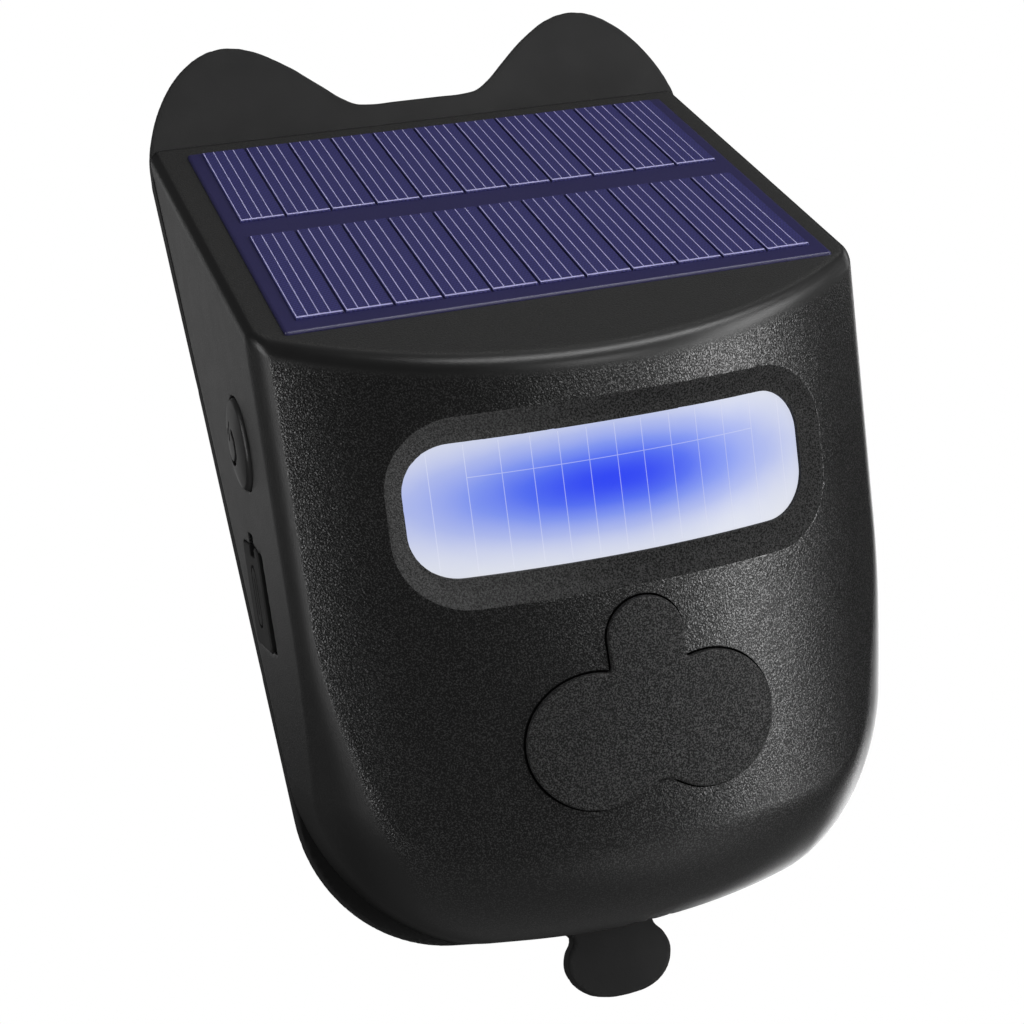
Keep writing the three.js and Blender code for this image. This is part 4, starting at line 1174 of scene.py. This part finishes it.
def power_icon(across, up, reach):
    """Broken ring with a bar in its gap"""
    end_across, end_up = ICON_R * math.sin(ICON_GAP), ICON_R * math.cos(ICON_GAP)
    ends = unite(np.hypot(across - end_across, up - end_up),
                 np.hypot(across + end_across, up - end_up))
    in_gap = np.abs(np.arctan2(across, up)) < ICON_GAP
    ring = np.where(in_gap, ends, np.abs(reach - ICON_R)) - ICON_STROKE
    return unite(ring, rounded_rect(across, up, 0, 2.0, ICON_STROKE, 1.35, 0.33))


def button_field(x, y, z):
    depth, height = to_face(y, z)
    across, up = depth - BUTTON[0], height - BUTTON[1]
    reach = np.hypot(across, up)
    top = BUTTON_TOP - BUTTON_DOME * (reach / BUTTON_R) ** 2
    solid = round_intersect(reach - BUTTON_R, intersect(-x - top, x + 39.9), 0.6)
    flange = intersect(reach - 7.8, np.abs(x + 40.05) - 0.35)
    stem = intersect(reach - 1.8, np.abs(x + 39.9) - 0.3)
    solid = unite(solid, flange, stem)
    floor = -x - (top - ICON_DEPTH)
    return round_subtract(solid, intersect(power_icon(across, up, reach), -floor), 0.1)


add_piece("power_button_cap",
          contoured_mesh("power_button_cap", button_field, (-45.4, -46.5, -9.0),
                         (-38.9, -16.5, 17.5), cell=0.2),
          "power_button", "button_plastic", body="button")


# ------------------------------------------------------------- charging flap
def flap_field(x, y, z):
    """Rubber lid with a plug, a notch in its edge and an engraved mark"""
    depth, height = to_face(y, z)

    def on_flap(half_u, half_v, radius):
        return rounded_rect(depth, height, *FLAP, half_u, half_v, radius)

    solid = round_intersect(on_flap(5.2, 7.5, 1.2), between(x, -43.2, -41.85), 0.3)
    plug = round_intersect(on_flap(1.3, 4.3, 1.25), x + 41.1, 0.3)
    solid = unite(solid, intersect(plug, -42.1 - x))
    notch = rounded_rect(depth, height, *FLAP_NOTCH, 1.7, 1.75, 0.4)
    solid = round_subtract(solid, notch, 0.15)
    mark = unite(np.abs(on_flap(1.55, 4.4, 1.55)) - 0.22, on_flap(0.22, 2.7, 0.2))
    return round_subtract(solid, intersect(mark, x + 42.9), 0.08)


add_piece("charging_flap_rubber",
          contoured_mesh("charging_flap_rubber", flap_field, (-44.2, -30.5, -36.0),
                         (-40.8, -2.5, 2.0), cell=0.22),
          "charging_flap", "flap_rubber", body="flap")


# --------------------------------------------------------------- solar panel
def slab(x0, x1, along0, along1, out0, out1, bevel, steps, corner=0.0, corner_steps=4):
    """Block on the slope with a rounded top edge and, if asked, rounded plan corners"""
    def ring(inset):
        radius = max(corner - inset, 0.0)
        points = []
        for corner_x, corner_s, start in [(x1, along1, 0), (x0, along1, 90),
                                          (x0, along0, 180), (x1, along0, 270)]:
            centre_x = corner_x + (-1 if corner_x == x1 else 1) * (inset + radius)
            centre_s = corner_s + (-1 if corner_s == along1 else 1) * (inset + radius)
            if corner > 0:
                for i in range(corner_steps + 1):
                    turn = math.radians(start + 90 * i / corner_steps)
                    points.append((centre_x + radius * math.cos(turn),
                                   centre_s + radius * math.sin(turn)))
            else:
                points.append((centre_x, centre_s))
        return points

    levels = [(0, out0)]
    for i in range(steps + 1):
        turn = math.pi / 2 * i / steps
        levels.append((bevel * (1 - math.cos(turn)), out1 - bevel + bevel * math.sin(turn)))
    points = np.array([(x, along, out) for inset, out in levels for x, along in ring(inset)])
    size = len(points) // len(levels)
    quads = []
    for low in range(0, len(points) - size, size):
        for i in range(size):
            j = (i + 1) % size
            quads.append((low + i, low + j, low + size + j, low + size + i))
    # caps as strips of quads across the outline
    for base, flip in ((0, True), (len(points) - size, False)):
        for i in range(size // 2 - 1):
            quad = (base + size - 1 - i, base + i, base + i + 1, base + size - 2 - i)
            quads.append(quad[::-1] if flip else quad)
    return slope_points(*points.T), np.array(quads)


CELL_COUNT, CELLS_WIDTH = 11, 74.0
CELL_PITCH = CELLS_WIDTH / CELL_COUNT
CELL_GAP = 0.16                             # bare margin on each side of a cell
FINGER_PITCH, FINGER_WIDTH = 1.52, 0.15
CELL_ROWS = [("lower", 2.9, 29.2), ("upper", 34.3, 60.2)]  # name, along from, along to


def build_panel():
    board = Solid()
    board.add(*slab(-38.6, 39.4, 0.0, 61.0, -0.7, 0.45, bevel=0.42, steps=4, corner=0.5))
    add_piece("solar_backboard_laminate", board.mesh("solar_backboard_laminate"),
              "solar_backboard", "panel_laminate")
    for tag, start, end in CELL_ROWS:
        cells = Solid()
        for i in range(CELL_COUNT):
            left = PANEL_X - CELLS_WIDTH / 2 + CELL_PITCH * i
            right = left + CELL_PITCH
            cells.add(*slab(left + CELL_GAP, right - CELL_GAP, start, end, 0.46, 0.72,
                            bevel=0.08, steps=2))
            for j in range(4):
                finger = left + 0.30 + j * FINGER_PITCH
                cells.add(*slab(finger, finger + FINGER_WIDTH, start + 0.45, end - 0.2,
                                0.70, 0.755, bevel=0.03, steps=1), slot=1)
            # bar that joins the lower ends of the fingers
            cells.add(*slab(left + 0.28, right - 0.2, start + 0.22, start + 0.52,
                            0.70, 0.77, bevel=0.03, steps=1), slot=1)
        add_piece(f"solar_cells_{tag}_row", cells.mesh(f"solar_cells_{tag}_row"),
                  f"solar_cells_{tag}", "solar_cell", "cell_fingers")


build_panel()


# -------------------------------------------------------------- cover screws
def screw_field(x, y, z):
    """Domed cross-head screw pointing towards the front"""
    reach = np.hypot(x, z)
    dome = y + 0.35 + 0.05 * reach * reach
    head = round_intersect(reach - 2.8, intersect(-1.85 - y, dome), 0.25)
    turns = y / 0.9 + np.arctan2(z, x) / (2 * np.pi)
    thread = reach - 1.0 - 0.1 * np.abs((turns % 1.0) * 2 - 1)
    shank = intersect(thread, y + 1.7, -13.5 - y + reach * 0.9)
    arm = 1.55 - 0.35 * np.clip(-0.4 - y, 0, 1)
    cross = unite(intersect(np.abs(x) - arm, np.abs(z) - 0.32),
                  intersect(np.abs(z) - arm, np.abs(x) - 0.32))
    return round_subtract(unite(head, shank), intersect(cross, -1.35 - y), 0.08)


screw_mesh = contoured_mesh("cover_screw_turned", screw_field, (-3.2, -14.2, -3.2),
                            (3.2, 0.2, 3.2), cell=0.17)
for number, (screw_x, screw_z) in enumerate(COVER_SCREWS, 1):
    placed = screw_mesh.copy()
    placed.transform(Matrix.Translation((screw_x * MM, 0, screw_z * MM)))
    add_piece(f"cover_screw_{number}_turned", placed, f"cover_screw_{number}", "screw_steel")

# -------------------------------------------- finishes of the remaining nodes
# finish: the CAD nodes that wear it when the frame's record gives them none
DEFAULT_FINISHES = {
    "seal_rubber": "cover_gasket",
    "foam_tape": "solar_adhesive",
    "white_plastic": "light_reflector",
    "circuit_board": "lamp_board main_board side_board",
    "led_package": "strobe_led_1 strobe_led_2",
    "bright_metal": "motion_sensor charging_socket sounder_can sounder_cone",
    "sensor_orange": "light_sensor",
    "screw_steel": "board_screw_1 board_screw_2 board_screw_3 board_screw_4",
    "chip_plastic": "control_chip smoothing_capacitor tact_switch socket_tongue",
    "coil_body": "drive_coil",
    "ivory_plastic": "tact_plunger",
    "battery_sleeve": "battery_cell",
    "inner_plastic": "battery_tray",
    "contact_metal": "battery_contact_left battery_contact_right",
    "mesh_cloth": "outlet_mesh",
    "lead_red": "battery_lead_red solar_lead_red sounder_lead_red",
    "lead_black": "battery_lead_black solar_lead_black sounder_lead_black",
}


def finish_remaining_nodes():
    finishes = {node: finish for finish, nodes in DEFAULT_FINISHES.items()
                for node in nodes.split()}
    record = frame["record"]
    for row in record.get("subparts", []) + record.get("materials", []):
        if isinstance(row, dict) and row.get("node") and row.get("material_slot"):
            finishes[row["node"]] = row["material_slot"]
    for name, node in frame["nodes"].items():
        if node.hide_render:
            continue
        finish = finishes.get(name, "inner_plastic")
        node.data.materials.clear()
        node.data.materials.append(MATERIALS.get(finish, MATERIALS["inner_plastic"]))


finish_remaining_nodes()

# ------------------------------------------- floor, world and lights (metres)
FLOOR_HALF, FLOOR_Z = 6, -0.2


def build_floor():
    """Pale floor seen by the camera only; away from the middle it glows pure white"""
    corners = [(sx * FLOOR_HALF, sy * FLOOR_HALF, FLOOR_Z)
               for sx, sy in ((-1, -1), (1, -1), (1, 1), (-1, 1))]
    mesh = bpy.data.meshes.new("floor")
    mesh.from_pydata(corners, [], [(0, 1, 2, 3)])
    floor = bpy.data.objects.new("floor", mesh)
    bpy.context.scene.collection.objects.link(floor)
    net = new_material("floor_pale")
    matt = net.simple_shader("ShaderNodeBsdfDiffuse", (0.9, 0.9, 0.9))
    glow = net.simple_shader("ShaderNodeEmission", (1, 1, 1), strength=1.0)
    camera_ray = net.camera_ray()
    distance = net.vector_math("LENGTH", net.coords()).outputs["Value"]
    far = net.ease(distance, (0.28, 0.75), to=(0.93, 1.0))
    shader = net.mix_shader(net.mul(camera_ray, far), matt, glow)
    net.output("ShaderNodeOutputMaterial", shader)
    mesh.materials.append(MATERIALS["floor_pale"])
    floor.visible_glossy = False
    floor.visible_diffuse = False
    floor.visible_shadow = False


def build_world():
    """White to the camera; a dim fill, darker low behind and brighter below, to the rest"""
    world = bpy.data.worlds.new("studio")
    bpy.context.scene.world = world
    world.use_nodes = True
    net = Net(world.node_tree)
    camera_ray = net.camera_ray()
    seen = net.simple_shader("ShaderNodeBackground", (1, 1, 1), strength=1.0)
    ray = net.node("ShaderNodeTexCoord").outputs["Generated"]
    behind = net.ease(net.dot(ray, (-0.45, 0.893, 0.0)), (0.3, 0.85))
    low = net.ease(net.dot(ray, (0.0, 0.0, 1.0)), (0.05, 0.45), to=(1.0, 0.0))
    below = net.ease(net.dot(ray, (0.0, 0.0, 1.0)), (-0.75, -0.35), to=(0.16, 0.0))
    strength = net.sub(net.add(0.07, below), net.mul(net.mul(behind, low), 0.045))
    fill = net.simple_shader("ShaderNodeBackground", (1, 1, 1), strength=strength)
    net.output("ShaderNodeOutputWorld", net.mix_shader(camera_ray, fill, seen))


LIGHT_TARGET = Vector((0, -0.028, 0.0))
# name, azimuth, elevation (degrees), distance, width, height (m), radiance of the lit sheet
# azimuth 0 is in front of the object, positive to the viewer's right
LIGHTS = [
    ("key_right", 53, -6, 0.75, 0.25, 0.84, 5.6),
    ("rim_left", -80, 3, 0.7, 0.16, 0.76, 4.6),
    ("back_left", -163, 20, 0.85, 0.5, 0.42, 0.42),
    ("front_above", 24, 38, 0.85, 0.75, 0.15, 8.5),
    ("front_low", 18, -13, 0.9, 0.26, 0.34, 2.5),
    ("front_mid", 16, 2, 0.9, 0.3, 0.16, 3.4),
    ("under_right", 45, -62, 0.7, 0.5, 0.35, 0.5),
    ("back_right", 140, -8, 0.9, 0.55, 0.6, 3.5),
    ("right", 100, 20, 0.9, 0.3, 0.5, 1.2),
    ("top", 10, 78, 0.8, 0.5, 0.4, 0.3),
]


def soft_light(name, azimuth, elevation, distance, width, height, radiance):
    turn, lift = math.radians(azimuth), math.radians(elevation)
    towards = Vector((math.sin(turn) * math.cos(lift), -math.cos(turn) * math.cos(lift),
                      math.sin(lift)))
    light = bpy.data.lights.new(name, "AREA")
    light.shape = "RECTANGLE"
    light.size, light.size_y = width, height
    light.energy = radiance * math.pi * width * height
    lamp = bpy.data.objects.new(name, light)
    lamp.location = LIGHT_TARGET + towards * distance
    lamp.rotation_mode = "QUATERNION"
    lamp.rotation_quaternion = (-towards).to_track_quat("-Z", "Y")
    lamp.visible_camera = False
    bpy.context.scene.collection.objects.link(lamp)


build_floor()
build_world()
for row in LIGHTS:
    soft_light(*row)

# -------------------------------------------------------------------- camera
CAMERA_PLACE = Vector((-0.08755, -0.28668, -0.05526))
CAMERA_RIGHT = Vector((0.9418628, -0.2475984, -0.2271330))
CAMERA_DOWN = Vector((-0.1711246, 0.2282646, -0.9584423))
CAMERA_FORWARD = Vector((0.2891552, 0.9415892, 0.1726237))

scene = bpy.context.scene
camera_data = bpy.data.cameras.new("camera")
camera_data.sensor_width = 36.0
camera_data.lens = 68.97832
camera_data.clip_start, camera_data.clip_end = 0.01, 20
camera = bpy.data.objects.new("camera", camera_data)
scene.collection.objects.link(camera)
turned = Matrix((CAMERA_RIGHT, -CAMERA_DOWN, -CAMERA_FORWARD)).transposed().to_4x4()
camera.matrix_world = Matrix.Translation(CAMERA_PLACE) @ turned
scene.camera = camera
scene.view_settings.view_transform = "Standard"
scene.view_settings.look = "None"
scene.view_settings.exposure = 0.0
scene.view_settings.gamma = 1.0

bpy.context.view_layer.update()
